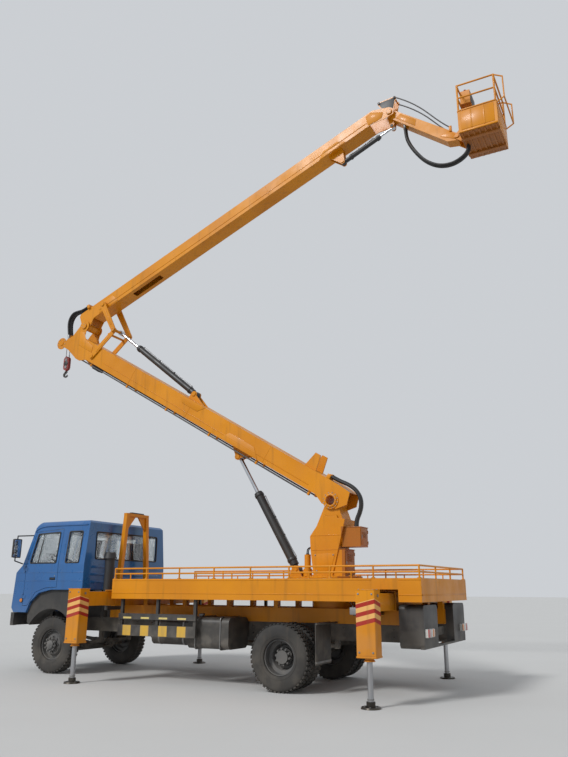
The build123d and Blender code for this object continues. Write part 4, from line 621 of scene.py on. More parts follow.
# cab: rubbers, gutters, ribs, wipers, handles, mirrors and lamps
cab = {
    "rearX": 2.78, "half": 1.15, "beltZ": 1.86, "lean": 0.09 / 0.79, "screenX": 4.30,
    "screenLean": 0.18 / 0.68,
    "windscreen": ((-1.01, 1.905), (-0.945, 2.48), (0.945, 2.48), (1.01, 1.905)),
    "rearWindow": ((-0.88, 1.96), (-0.88, 2.44), (0.88, 2.44), (0.88, 1.96)),
    "quarterWindow": ((2.92, 1.89), (2.92, 2.445), (3.24, 2.445), (3.24, 1.89)),
    "doorWindow": ((4.12, 1.89), (4.025, 2.42), (3.47, 2.44), (3.47, 1.89)), "rubber": 0.012, "round": 0.05,
    "creases": (1.575, 1.72), "shellCreases": ((2.79, 3.39), (4.23, 4.42)), "doorCrease": (3.42, 4.19),
    "gutter": (2.83, 4.07, 2.56), "ribs": (-0.72, -0.36, 0.0, 0.36, 0.72), "rearBeads": (1.56, 1.69, 1.82),
    "sideBeads": (2.90, 3.30), "slots": 6, "slotX": 4.452, "slotZ": 1.24, "slotPitch": 0.07,
    "slotHigh": 0.036,
    "slotHalf": 0.70, "slotBars": (-0.46, -0.23, 0.0, 0.23, 0.46), "wipers": (-0.72, 0.18),
    "handleX": (3.45, 3.59), "handleZ": (1.588, 1.632), "mirrorX": (4.30, 4.33), "mirrorY": (1.24, 1.42),
    "mirrorZ": (1.99, 2.32), "lampAt": (4.57, 0.85, 0.901), "lampRadius": 0.075,
}


def wallPoint(x, z, out=0.0):  # on the left side wall, which leans in above the belt
    return Vector((x, cab["half"] - max(z - cab["beltZ"], 0) * cab["lean"] + out, z))


def screenPoint(y, z, out=0.0):
    slope = cab["screenLean"]
    return Vector((cab["screenX"] - (z - cab["beltZ"]) * slope + out, y, z + out * slope))


def wallBar(start, end, radius, out=-0.002):
    return roundBar(wallPoint(*start, out), wallPoint(*end, out), radius, 10, 0.002)


def softLoop(corners, reach):  # each corner gets a point before and after it, so that a curve rounds it
    points = []
    corners = [Vector(corner) for corner in corners]
    for before, corner, after in zip(corners[-1:] + corners[:-1], corners, corners[1:] + corners[:1]):
        points += [corner + (before - corner).normalized() * reach, corner,
                   corner + (after - corner).normalized() * reach]
    return points


def rubberRound(corners, reach=cab["round"]):
    return pipe(softLoop(corners, reach), cab["rubber"], closed=True)


def wiper(y):
    return [roundBar(screenPoint(y, 1.875, 0.03), screenPoint(y + 0.27, 2.12, 0.022), 0.007, 10, 0.001),
            roundBar(screenPoint(y + 0.05, 2.24, 0.014), screenPoint(y + 0.47, 1.99, 0.014), 0.006, 8, 0.001),
            roundBar(screenPoint(y, 1.875, -0.005), screenPoint(y, 1.875, 0.045), 0.016, 16, 0.003)]


def cabBlack():
    parts = [rubberRound([screenPoint(y, z, 0.003) for y, z in cab["windscreen"]], 0.07),
             rubberRound([(cab["rearX"] - 0.002, y, z) for y, z in cab["rearWindow"]], 0.07),
             *bothSides(rubberRound([wallPoint(x, z, 0.002) for x, z in cab["quarterWindow"]]))]
    # painted shade: a black sheet at the back of each grille slot stands in for the shade inside the openings
    for row in range(cab["slots"]):
        x, half, z = cab["slotX"], cab["slotHalf"], cab["slotZ"] + row * cab["slotPitch"]
        parts.append(block((x - 0.006, -half, z), (x + 0.003, half, z + cab["slotHigh"]), 0))
    for y in cab["wipers"]:
        parts += wiper(y)
    return parts


def cabBlue():
    x0, x1, z = cab["gutter"]
    gutter = [(x0, z), ((x0 + x1) / 2, z + 0.006), (x1, z)]
    parts = [pipe([*(wallPoint(*spot, 0.006) for spot in gutter), wallPoint(x1 + 0.06, z - 0.10, 0.005)],
                  0.010)]
    parts += [wallBar((x0, z), (x1, z), 0.007) for z in cab["creases"] for x0, x1 in cab["shellCreases"]]
    parts += [wallBar((x, 1.93), (x, 2.42), 0.006) for x in cab["sideBeads"]]
    parts = bothSides(*parts)
    rib = [(2.98, 2.638), (3.92, 2.6465), (3.89, 2.659), (3.01, 2.651)]
    parts += [plate(rib, y - 0.035, y + 0.035, "y", 0.005) for y in cab["ribs"]]
    rear, front = cab["rearX"], cab["slotX"]
    parts += [block((rear - 0.008, -0.98, z - 0.022), (rear + 0.002, 0.98, z + 0.022), 0.006)
              for z in cab["rearBeads"]]
    for row in range(cab["slots"]):
        z = cab["slotZ"] + row * cab["slotPitch"]
        parts += [block((front, y - 0.012, z), (front + 0.012, y + 0.012, z + cab["slotHigh"]), 0.003)
                  for y in cab["slotBars"]]
    return parts


finishPiece("cabRubbersAndSlotShade", cabBlack(), "truck", "blackPlastic")
finishPiece("cabBeads", cabBlue(), "truck", "cabBlue")


def doorBeads():
    x0, x1 = cab["doorCrease"]
    return [wallBar((x0, z), (x1, z), 0.007) for z in cab["creases"]]


def doorTrim():
    (x0, x1), (z0, z1) = cab["handleX"], cab["handleZ"]
    middle, wall = (z0 + z1) / 2, cab["half"] - 0.0135
    handle = [(x0 + 0.012, 0), (x0 + 0.014, 0.016), ((x0 + x1) / 2, 0.020), (x1 - 0.014, 0.016),
              (x1 - 0.012, 0)]
    return [rubberRound([wallPoint(x, z, 0.002) for x, z in cab["doorWindow"]]),
            roundBar(wallPoint(3.925, 1.90, -0.008), wallPoint(3.885, 2.425, -0.008), 0.009, 10),
            block((x0 + 0.002, wall, z0 + 0.002), (x1 - 0.002, wall + 0.002, z1 - 0.002), 0),
            pipe([(x, wall + out, middle) for x, out in handle], 0.008),
            roundBar(wallPoint(3.47, 1.66, -0.002), wallPoint(3.47, 1.66, 0.005), 0.012, 20, 0.002,
                     "steelGrey")]


def mirrorTrim():
    (x0, x1), (y0, y1), (z0, z1) = cab["mirrorX"], cab["mirrorY"], cab["mirrorZ"]
    corners = [(x0 - 0.002, y, z) for y, z in ((y0, z0), (y1, z0), (y1, z1), (y0, z1))]
    clamps = [block((x1 - 0.006, y1 - 0.10, z - 0.016), (x1 + 0.022, y1 - 0.075, z + 0.016), 0.003,
                    "steelGrey") for z in (z0 + 0.05, z1 - 0.05)]
    hood = block((x1 - 0.006, y0 + 0.008, z0 + 0.008), (x1 + 0.016, y1 - 0.008, z1 - 0.008), 0.012, steps=4)
    glass = block((x0 - 0.005, y0 + 0.010, z0 + 0.010), (x0 + 0.001, y1 - 0.010, z1 - 0.010), 0.002,
                  "mirrorGlass")
    return [pipe(softLoop(corners, 0.03), 0.007, closed=True), hood, glass, *clamps]


def frontLamps():
    r, centre, ahead = cab["lampRadius"], cab["lampAt"], (1, 0, 0)
    base, out = wallPoint(4.25, 1.23), (0, 1, 0)
    bezel = [(r + 0.001, 0.0), (r + 0.024, 0.0), (r + 0.024, 0.010), (r + 0.014, 0.022), (r + 0.001, 0.026)]
    lens = [(r - 0.003, 0.024), (r - 0.006, 0.032), (r * 0.6, 0.038), (nearAxis, 0.040)]
    marker = [(0.034, 0.0), (0.034, 0.006), (0.028, 0.016), (nearAxis, 0.020)]
    ring = [(0.033, 0.0), (0.042, 0.0), (0.040, 0.008), (0.033, 0.009)]
    return [turned(bezel, centre, ahead, 48, "steelGrey"), knob(lens, centre, ahead, 48),
            knob(marker, base, out, 32, "lampAmber"), turned(ring, base, out, 32, "blackPlastic"),
            block((4.474, 0.86, 1.36), (4.492, 1.08, 1.46), 0.008, "lampAmber", 3)]


finishPair("doorBeads", doorBeads, "door_SIDE_body", "cabBlue")
finishPair("doorTrim", doorTrim, "door_SIDE_body", "blackPlastic")
finishPair("mirrorTrim", mirrorTrim, "truck", "blackPlastic")
finishPair("frontLamps", frontLamps, "truck", "lampLens")
print("cab done")

# driver's and passenger's seats: boxes with padded cushions and backs
seatFacts = {
    "y": {"left": 0.6, "right": -0.6}, "base": ((3.165, 3.615), 0.235, (1.466, 1.662)), "half": 0.232,
    "shrink": 0.014,
    "cushion": ((3.150, 1.668), (3.630, 1.668), (3.635, 1.750), (3.600, 1.790), (3.300, 1.778),
                (3.150, 1.788)),
    "back": ((3.152, 1.800), (3.262, 1.800), (3.235, 1.960), (3.205, 2.130), (3.165, 2.335), (3.060, 2.335)),
    "voxel": 0.008, "frames": 20, "pressure": 4.0, "stiffness": 40, "cap": 0.024, "fill": 0.8,
    "seams": {"cushion": (3.27, 3.39, 3.51), "back": (1.93, 2.06, 2.19)}, "seamDepth": 0.009,
    "seamWide": 0.010,
    # the axis a seam sinks along and the one it is placed on
    "topOf": {"cushion": (2, 0, 1.74), "back": (0, 2, 3.13)},
}


def swelled(piece):  # the pad blown up as cloth, each point moved no further than the cap
    start = [vertex.co.copy() for vertex in piece.data.vertices]
    cloth = piece.modifiers.new("swell", "CLOTH")
    cloth.settings.use_pressure = True
    cloth.settings.uniform_pressure_force = seatFacts["pressure"]
    cloth.settings.effector_weights.gravity = 0
    cloth.settings.tension_stiffness = seatFacts["stiffness"]
    for step in range(1, seatFacts["frames"] + 1):
        bpy.context.scene.frame_set(step)
    blown = piece.evaluated_get(bpy.context.evaluated_depsgraph_get()).data
    moved = [vertex.co.copy() for vertex in blown.vertices]
    piece.modifiers.remove(cloth)
    for vertex, first, last in zip(piece.data.vertices, start, moved):
        away = last - first
        vertex.co = first + away * min(1.0, seatFacts["cap"] / max(away.length, 0.0001))
    bpy.context.scene.frame_set(1)


def seatPad(kind, y):
    half = seatFacts["half"] - seatFacts["shrink"]
    pad = plate(seatFacts[kind], y - half, y + half, "y", 0.030)
    applyModifier(pad, "REMESH", mode="VOXEL", voxel_size=seatFacts["voxel"])
    swelled(pad)
    sink, along, top = seatFacts["topOf"][kind]
    for vertex in pad.data.vertices:  # shallow sewn channels across the pad
        for seam in seatFacts["seams"][kind]:
            if vertex.co[sink] > top:
                away = (vertex.co[along] - seam) / seatFacts["seamWide"]
                vertex.co[sink] -= seatFacts["seamDepth"] * math.exp(-away ** 2)
    applyModifier(pad, "SMOOTH", factor=0.5, iterations=3)
    applyModifier(pad, "SUBSURF", levels=1, render_levels=1)
    return pad


def seatBase(y):
    (x0, x1), half, (z0, z1) = seatFacts["base"]
    parts = [block((x0, y - half, z0 + 0.03), (x1, y + half, z1), 0.02, "blackPlastic", 3)]
    for rail in (y - 0.15, y + 0.15):
        parts.append(block((x0 - 0.01, rail - 0.018, z0), (x1 + 0.01, rail + 0.018, z0 + 0.03)))
    lever = [(x1 - 0.02, y - 0.10, z0 + 0.06), (x1 + 0.02, y - 0.10, z0 + 0.05),
             (x1 + 0.02, y + 0.10, z0 + 0.05), (x1 - 0.02, y + 0.10, z0 + 0.06)]
    return [*parts, pipe(lever, 0.006)]


for sideName, y in seatFacts["y"].items():
    finishPiece(f"seatBase_{sideName}", seatBase(y), "truck", "steelGrey", stands=["seats"])
    for kind in ("cushion", "back"):
        pad = finishPiece(f"seat{kind.title()}_{sideName}", [seatPad(kind, y)], "truck",
                          "seatCloth", smooth=60, stands=["seats"])
print("seats done")

# running gear under the deck
gear = {
    "railY": 0.43, "springY": 0.38, "axles": ((3.53, 0.37, 0.515), (-1.17, 0.395, 0.672)),
    "leafEnds": (-0.24, -0.14, 0.14, 0.24), "brakePot": (-1.33, 0.29, 0.60),
    "fuelTank": ((-0.24, 0.53), (0.49, 1.08), (0.54, 1.01), 0.09),
    "battery": ((-0.24, 0.38), (0.49, 1.08), (0.56, 1.01)),
    "airTanks": ((0.73, 1.53), 0.62, (0.64, 0.86), 0.095), "rivetZ": (0.765, 0.875),
    "rivets": (-3.10, 0.40, 18),
    "flapX": -1.775, "flapY": (0.64, 1.17), "flapZ": (0.40, 0.98), "lampX": -3.415, "lampZ": (0.82, 0.93),
    "lampY": ((0.772, 0.858, "lampAmber"), (0.868, 0.954, "lampLens"), (0.964, 1.058, "lampRed")),
    "muffler": (0.80, -0.64, 0.75, 0.72, 0.115),
}


def springTrim(x, low, top):  # U-bolts, the plate under them and the leaves' clips, for one spring
    y = gear["springY"]
    parts = [block((x - 0.11, y - 0.062, low + 0.004), (x + 0.11, y + 0.062, low + 0.024), 0.005)]
    for place in (x - 0.075, x + 0.075):
        hoop = [(-0.050, low), (-0.050, top - 0.02), (-0.045, top + 0.006), (0.045, top + 0.006),
                (0.050, top - 0.02), (0.050, low)]
        parts.append(pipe([(place, y + out, z) for out, z in hoop], 0.009))
    parts += [block((x + end - 0.012, y - 0.045, top - 0.105), (x + end + 0.012, y + 0.045, top + 0.012))
              for end in gear["leafEnds"]]
    return parts


def runningGear():
    parts = [part for facts in gear["axles"] for part in springTrim(*facts)]
    x, y, z = gear["brakePot"]
    pot = [(0.05, 0.0), (0.078, 0.03), (0.078, 0.075), (0.086, 0.082), (0.086, 0.094), (0.078, 0.10),
           (0.070, 0.14), (nearAxis, 0.15)]
    parts += [knob(pot, (x, y, z), (-1, 0, 0), 32),
              roundBar((x - 0.01, y, z), (x + 0.13, y, z - 0.055), 0.012, 12, 0, "steelGrey")]
    first, pitch, count = gear["rivets"]
    parts += boltsOn([(first + index * pitch, gear["railY"], z) for index in range(count)
                      for z in gear["rivetZ"]], (0, 1, 0), 0.013, 0.010, "chassisBlack")
    return bothSides(*parts)


def tankTrim():
    (x0, x1), (y0, y1), (z0, z1), reach = gear["fuelTank"]
    parts = []
    for x in (x0 + 0.15, x1 - 0.15):
        corners = [(x, y0 - 0.004, z0 - 0.004), (x, y1 + 0.004, z0 - 0.004), (x, y1 + 0.004, z1 + 0.004),
                   (x, y0 - 0.004, z1 + 0.004)]
        parts.append(pipe(softLoop(corners, reach), 0.010, "steelGrey", closed=True))
    parts.append(knob([(0.040, 0.0), (0.040, 0.020), (0.052, 0.022), (0.052, 0.042), (0.044, 0.050),
                       (nearAxis, 0.052)], (x1 - 0.10, 0.84, z1), (0, 0, 1), 32, "steelGrey"))
    (x0, x1), (y0, y1), (z0, z1) = gear["battery"]
    parts.append(block((x0 - 0.004, -y1 - 0.004, z1 - 0.09), (x1 + 0.004, -y0 + 0.004, z1 + 0.006), 0.012,
                       steps=3))
    parts += [block((x - 0.016, -y1 - 0.010, z1 - 0.14), (x + 0.016, -y1 - 0.002, z1 - 0.06), 0.003,
                    "steelGrey") for x in (x0 + 0.12, x1 - 0.12)]
    (x0, x1), y, heights, r = gear["airTanks"]
    for z in heights:
        parts += [band(r, 0.016, (x, y, z)) for x in (x0 + 0.15, x1 - 0.15)]
        parts += [knob([(nearAxis, 0.022), (0.04, 0.018), (0.075, 0.008), (r - 0.001, 0.0)], (x, y, z),
                       (way, 0, 0), 32) for x, way in ((x0, -1), (x1, 1))]
        parts.append(pipe([(x1 + 0.02, y, z), (x1 + 0.09, y, z), (x1 + 0.12, y - 0.05, z + 0.03),
                           (x1 + 0.12, y - 0.19, z + 0.03)], 0.007, "hoseBlack"))
    return parts


def exhaust():
    x0, y, z, long, r = gear["muffler"]
    x1 = x0 + long
    can = [(0.05, 0.0), (r - 0.02, 0.012), (r, 0.035), (r, long - 0.035), (r - 0.02, long - 0.012),
           (0.05, long)]
    parts = [knob(can, (x0, y, z), (1, 0, 0), 40),
             pipe([(x1 - 0.01, y, z), (1.75, y, z), (1.90, y, z + 0.02), (2.05, y + 0.10, z + 0.03),
                   (2.30, y + 0.24, z + 0.05), (2.75, y + 0.26, z + 0.06), (2.90, -0.30, z + 0.10)], 0.036),
             pipe([(x0 + 0.01, y, z), (0.68, y, z), (0.60, y - 0.04, z - 0.03), (0.56, y - 0.16, z - 0.08),
                   (0.55, -1.06, z - 0.14)], 0.034)]
    for x in (x0 + 0.14, x1 - 0.14):
        parts.append(block((x - 0.014, y - 0.02, z + r - 0.004),
                           (x + 0.014, -gear["railY"] - 0.002, z + r + 0.010), 0.003, "chassisBlack"))
        parts.append(band(r, 0.014, (x, y, z)))
    return parts


def mudFlaps():
    x, (y0, y1), (low, high) = gear["flapX"], gear["flapY"], gear["flapZ"]
    return bothSides(block((x - 0.005, y0, low), (x + 0.005, y1, high), 0.002),
                     roundBar((x - 0.018, gear["railY"], high - 0.02), (x - 0.018, y1, high - 0.02), 0.014,
                              14, 0.003, "chassisBlack"),
                     block((x - 0.012, y0, low + 0.02), (x + 0.008, y1, low + 0.05), 0.003, "steelGrey"))


def tailLamps():
    x, (low, high) = gear["lampX"], gear["lampZ"]
    return bothSides(*[block((x - 0.010, first, low + 0.004), (x + 0.004, last, high - 0.004), 0.006, paint,
                             3) for first, last, paint in gear["lampY"]])


finishPiece("runningGear", runningGear(), "truck", "chassisBlack")
finishPiece("tankTrim", tankTrim(), "truck", "blackPaint")
finishPiece("exhaust", exhaust(), "truck", "castGrey")
finishPiece("mudFlaps", mudFlaps(), "truck", "blackPlastic")
finishPiece("tailLamps", tailLamps(), "truck")
print("chassis done")

# deck, rails, boom rest and outrigger legs
deckFacts = {
    "x": (-3.40, 2.045), "half": 1.21, "top": 1.60, "seamZ": 1.375, "notch": (-3.075, -2.675), "railY": 1.18,
    "posts": (-3.37, 2.015, 8), "sheets": (-2.3, -0.6, 0.3, 1.2), "legX": (2.24, -2.84), "legY": 1.78,
    "legHalf": (0.135, 0.11), "legTop": 1.44, "legLow": 0.60, "collar": 0.060,
    "rest": (2.61, 0.425, 1.421, 2.825),
    "valves": ((-2.62, -2.30), (1.02, 1.13), (1.10, 1.20)), "levers": 6, "leverPitch": 0.052,
}


def deckTrim():
    (x0, x1), half, z, top = deckFacts["x"], deckFacts["half"], deckFacts["seamZ"], deckFacts["top"]
    parts = []
    for start, end in ((x0 + 0.004, deckFacts["notch"][0]), (deckFacts["notch"][1], x1 - 0.004)):
        parts += [block((start, half - 0.002, z - 0.007), (end, half + 0.005, z + 0.007), 0.003),
                  block((start, half - 0.002, top - 0.030), (end, half + 0.004, top - 0.004), 0.003)]
    first, last, bays = deckFacts["posts"]
    y = deckFacts["railY"]
    for index in range(bays + 1):
        x = first + index * (last - first) / bays
        parts.append(turned([(0.0135, 0.001), (0.032, 0.001), (0.032, 0.007), (0.018, 0.010),
                             (0.0135, 0.022)], (x, y, top), (0, 0, 1), 20))
        parts += boltsOn([(x - 0.023, y, top + 0.007), (x + 0.023, y, top + 0.007)], (0, 0, 1), 0.005, 0.005)
    parts = bothSides(*parts)
    for x, way in ((x0, -1), (x1, 1)):
        parts.append(block((x - 0.002, -half + 0.02, z - 0.007), (x + way * 0.005, half - 0.02, z + 0.007),
                           0.003))
    parts += [block((x - 0.004, -half + 0.05, top - 0.001), (x + 0.004, half - 0.05, top + 0.0015), 0)
              for x in deckFacts["sheets"]]
    return parts


def restTrim():
    x, y, low, top = deckFacts["rest"]
    parts = [block((x - 0.07, y - 0.075, low), (x + 0.07, y + 0.075, low + 0.012), 0.003)]
    parts += boltsOn([(x + dx, y + dy, low + 0.012) for dx in (-0.052, 0.052) for dy in (-0.056, 0.056)],
                     (0, 0, 1), 0.010, 0.010)
    return [block((x - 0.034, -0.18, top - 0.001), (x + 0.034, 0.18, top + 0.022), 0.006, "blackPlastic", 3),
            *bothSides(*parts)]


def legTrim(x):
    hx, hy = deckFacts["legHalf"]
    y, top, low = deckFacts["legY"], deckFacts["legTop"], deckFacts["legLow"]
    bore = deckFacts["collar"] + 0.001
    parts = [block((x - hx - 0.004, y - hy - 0.004, start), (x + hx + 0.004, y + hy + 0.004, end), edge)
             for start, end, edge in ((top - 0.002, top + 0.006, 0.003), (low + 0.002, low + 0.022, 0.004))]
    parts += [roundBar((x + way * (hx - 0.004), y, top - 0.07), (x + way * (hx + 0.014), y, top - 0.07),
                       0.019, 20, 0.003, "steelGrey") for way in (1, -1)]
    parts += boltsOn([(x + dx, y + hy + 0.0005, z) for dx in (-0.095, 0.095)
                      for z in (top - 0.05, low + 0.07)], (0, 1, 0), 0.010, 0.010)
    parts += boltsOn([(x + dx, y + dy, top + 0.006) for dx in (-0.10, 0.10) for dy in (-0.075, 0.075)],
                     (0, 0, 1), 0.010, 0.005)
    parts.append(block((x - hx + 0.02, y + hy - 0.0028, low + 0.03),
                       (x + hx - 0.02, y + hy + 0.0027, low + 0.036), 0))
    parts.append(turned([(bore, 0.0), (0.074, 0.0), (0.074, 0.010), (0.066, 0.018), (bore, 0.020)],
                        (x, y, low - 0.044), (0, 0, 1), 40))
    return parts


def jackTrim(x):
    y = deckFacts["legY"]
    seal = turned([(0.0385, 0.0), (0.046, 0.0), (0.046, 0.014), (0.0385, 0.016)], (x, y, 0.10), (0, 0, 1), 40)
    return [*boltRing((x, y, 0.022), (0, 0, 1), 0.092, 6, 0.009, 0.008), seal]


def valveBank():
    (x0, x1), (y0, y1), (z0, z1) = deckFacts["valves"]
    y = (y0 + y1) / 2
    parts = [block((x0, y0, z0), (x1, y1, z1), 0.006, "steelGrey", 3),
             block((x0 + 0.05, 0.44, z0 - 0.012), (x1 - 0.05, y1 - 0.01, z0), 0.003)]
    for index in range(deckFacts["levers"]):
        x = x0 + 0.03 + index * deckFacts["leverPitch"]
        parts.append(roundBar((x, y, z1 - 0.002), (x, y, z1 + 0.022), 0.013, 14, 0.002, "steelGrey"))
        parts.append(roundBar((x, y, z1 + 0.018), (x, y1 + 0.03, z1 + 0.062), 0.005, 10, 0, "steelGrey"))
        parts.append(knob([(nearAxis, -0.011), (0.007, -0.009), (0.011, 0.0), (0.007, 0.009),
                           (nearAxis, 0.011)], (x, y1 + 0.034, z1 + 0.067), (0, 0.6, 0.8), 16,
                          "blackPlastic"))
        parts.append(pipe([(x, y0 + 0.01, z0 + 0.05), (x, y0 - 0.08, z0 + 0.05),
                           (x + 0.02, y0 - 0.16, z0 + 0.02), (x + 0.03, 0.60, z0 + 0.02),
                           (x + 0.03, 0.45, z0 + 0.02)], 0.008, "hoseBlack"))
    return parts


finishPiece("deckTrim", deckTrim(), "truck")
finishPiece("restTrim", restTrim(), "truck")
finishPiece("valveBank", valveBank(), "truck", "chassisBlack")
for end, x in zip(("front", "rear"), deckFacts["legX"]):
    finishPair(f"legTrim_{end}", lambda: legTrim(x), f"leg_{end}_SIDE_body", "amber")
    finishPair(f"jackTrim_{end}", lambda: jackTrim(x), f"jack_{end}_SIDE_body", "steelGrey")
print("deck and legs done")

# slewing column
column = {
    "slew": (-1.58, 0.0), "plateTop": 1.641, "boltRing": 0.418, "bolts": 28, "pivot": (-1.62, 2.85),
    "tubeEnd": 0.228,
    "tubeBore": 0.078, "half": 0.22, "seams": ((2.06, -1.740, -1.252), (2.29, -1.800, -1.245)),
    "cover": ((-1.60, 1.70), (-1.34, 1.70), (-1.31, 2.00), (-1.69, 2.00)),
    "coverBolts": ((-1.585, 1.73), (-1.36, 1.73), (-1.335, 1.975), (-1.655, 1.975)),
    "boxes": (((-1.85, -1.61), 0.20, (1.641, 2.065), 5), ((-2.11, -1.78), 0.16, (2.10, 2.41), 4)),
    "motor": (-1.16, 0.148), "motorTop": 1.991, "driveTop": 1.761, "foot": (-0.89, 0.090, 1.76),
}


def cabinetTrim(xRange, half, zRange, louvres):  # one cabinet's door, lid, latch, hinges and louvres
    (x, front), (z0, z1) = xRange, zRange
    middle = (z0 + z1) / 2
    parts = [block((x - 0.007, -half + 0.015, z0 + 0.025), (x + 0.001, half - 0.015, z1 - 0.02), 0.004,
                   "rustOrange"),
             block((x - 0.012, half - 0.055, middle - 0.03), (x - 0.006, half - 0.035, middle + 0.03), 0.002,
                   "steelGrey"),
             block((x - 0.012, -half - 0.008, z1 - 0.004), (front - 0.03, half + 0.008, z1 + 0.006), 0.003,
                   "rustOrange")]
    parts += [roundBar((x - 0.008, -half + 0.012, z - 0.025), (x - 0.008, -half + 0.012, z + 0.025), 0.006,
                       12, 0.001, "rustOrange") for z in (z0 + 0.07, z1 - 0.07)]
    for index in range(louvres):
        z = z1 - 0.075 - index * 0.024
        slat = [(x - 0.007, z), (x - 0.018, z - 0.010), (x - 0.016, z - 0.013), (x - 0.005, z - 0.004)]
        parts.append(plate(slat, -half * 0.55, half * 0.55, "y", 0.001, "rustOrange"))
    return parts


def columnTrim():
    (x, y), out, up = column["slew"], (0, 1, 0), (0, 0, 1)
    places = [p for p in ringPlaces((x, y, column["plateTop"]), up, column["boltRing"], column["bolts"])
              if p.x < x + 0.36 or abs(p.y) > 0.22]
    parts = boltsOn(places, up, 0.013, 0.014, "amber")
    (px, pz), bore, tube, half = column["pivot"], column["tubeBore"], column["tubeEnd"], column["half"]
    wall = [turned([(bore, -0.002), (0.112, 0.001), (0.112, 0.008), (0.104, 0.013), (bore + 0.004, 0.013),
                    (bore, 0.009)], (px, tube, pz), out, 56),
            *boltRing((px, tube + 0.012, pz), out, 0.095, 8, 0.006, 0.006),
            plate(column["cover"], half - 0.001, half + 0.005), discCap(column["foot"], out, 0.046, 0.010),
            *boltsOn([(x, half + 0.005, z) for x, z in column["coverBolts"]], out, 0.009, 0.008)]
    wall += [block((rear + 0.01, half - 0.003, z - 0.006), (front - 0.01, half + 0.004, z + 0.006), 0.002)
             for z, rear, front in column["seams"]]
    parts += bothSides(*wall)
    (mx, my), top = column["motor"], column["motorTop"]
    parts += boltRing((mx, my, column["driveTop"]), up, 0.061, 8, 0.005, 0.008)
    parts.append(knob([(0.030, 0.0), (0.030, 0.012), (0.022, 0.018), (nearAxis, 0.02)], (mx, my, top), up, 24,
                      "blackPaint"))
    for y in (my - 0.025, my + 0.025):
        parts.append(pipe([(mx, y, top - 0.01), (mx, y, 2.06), (mx - 0.03, y - 0.01, 2.10),
                           (mx - 0.08, y - 0.01, 2.11), (mx - 0.12, y - 0.02, 2.10)], 0.009, "hoseBlack"))
    return parts + [part for facts in column["boxes"] for part in cabinetTrim(*facts)]


finishPiece("columnTrim", columnTrim(), "turret_body")
print("column done")

# arms, links and cylinders, each laid out in its arm's own frame: x along, z up
arms = {
    "lowerHalf": 0.212, "lowerTop": 0.290, "lowerLow": (-0.042, -0.0083), "lowerSeams": (1.5, 3.5, 5.2),
    "upperHalf": 0.165, "upperHigh": (0.372, -0.0056), "upperLow": (0.086, -0.00213),
    "upperSeams": (2.6, 5.0),
    "lowerPatches": (((1.62, -0.050), (2.58, -0.058), (2.40, 0.120), (1.80, 0.120)),
                     ((3.16, 0.284), (3.86, 0.284), (3.72, 0.150), (3.30, 0.150)),
                     ((6.55, 0.10), (7.00, 0.10), (7.16, 0.38), (7.02, 0.40), (6.86, 0.27), (6.60, 0.24))),
    "upperPatches": (((0.42, 0.10), (0.98, 0.10), (0.88, 0.30), (0.50, 0.30)),
                     ((6.20, 0.078), (6.80, 0.078), (6.66, 0.20), (6.34, 0.20)),
                     ((7.30, 0.09), (7.58, 0.05), (7.66, 0.14), (7.46, 0.31), (7.34, 0.30))),
    "sideRuns": (0.178, 0.208, 0.238), "topRuns": (-0.060, -0.085, -0.110, 0.085, 0.110), "clampPitch": 0.85,
    "levelRod": 0.014, "rodFeet": (0.45, 1.65, 2.85, 4.05, 5.25, 6.45),
}


def edgeAt(key, x):  # height of an arm's sloping edge
    return arms[key][0] + arms[key][1] * x


def seamsAndPatches(arm, half, high, low, thick):
    parts = [block((x - 0.005, half - 0.002, low(x) + 0.006), (x + 0.005, half + 0.0025, high(x) - 0.006),
                   0.001) for x in arms[f"{arm}Seams"]]
    return parts + [plate(outline, half - 0.001, half + thick) for outline in arms[f"{arm}Patches"]]


def lowerTrim():
    half, out = arms["lowerHalf"], (0, 1, 0)
    parts = seamsAndPatches("lower", half, lambda x: arms["lowerTop"], lambda x: edgeAt("lowerLow", x), 0.007)
    parts.append(block((0.50, half - 0.002, 0.028), (6.10, half + 0.006, 0.042), 0.003))
    parts += boltRing((0, 0.2242, 0), out, 0.127, 12, 0.007, 0.007)
    parts += boltRing((7.12, 0.236, 0.52), out, 0.046, 4, 0.007, 0.006)
    parts += boltRing((7.51, half, -0.067), out, 0.098, 8, 0.008, 0.008, 0.3)
    for centre, radius, thick in (((7.12, 0.226, 0.52), 0.066, 0.010), ((7.51, half, -0.067), 0.052, 0.012),
                                  ((6.48, 0.246, 0.03), 0.044, 0.010), ((2.10, 0.084, -0.195), 0.046, 0.012),
                                  ((3.66, 0.090, 0.40), 0.044, 0.010)):
        parts.append(discCap(centre, out, radius, thick))
    parts.append(pipe([(0.42, 0.145, -0.105), (0.50, 0.145, -0.112), (6.70, 0.145, -0.150),
                       (6.80, 0.145, -0.158)], arms["levelRod"], "darkGrey"))
    for x in arms["rodFeet"]:
        z = edgeAt("lowerLow", x)
        parts.append(block((x - 0.020, 0.130, z - 0.082), (x + 0.020, 0.160, z + 0.002)))
    parts = bothSides(*parts)
    parts.append(block((6.26, -0.075, -0.205), (6.48, 0.075, -0.098), 0.010, "hookRed", 3))
    away = -half - 0.014
    for z in arms["sideRuns"]:
        run = ((0.46, 0.004 - half), (0.52, away), (0.62, away), (5.85, away), (5.95, away),
               (6.00, 0.004 - half))
        parts.append(pipe([(x, y, z) for x, y in run], 0.011, "hoseBlack"))
    for index in range(7):
        x = 0.70 + index * arms["clampPitch"]
        parts.append(block((x - 0.016, -half - 0.030, 0.160), (x + 0.016, -half + 0.002, 0.256), 0.005,
                           "blackPaint"))
    parts += [block((0.2003, y - 0.024, 0.2895), (0.270, y + 0.024, 0.366), 0.006)
              for y in (0.074, 0.186)]  # feet of the thinner hoses over the root
    return parts


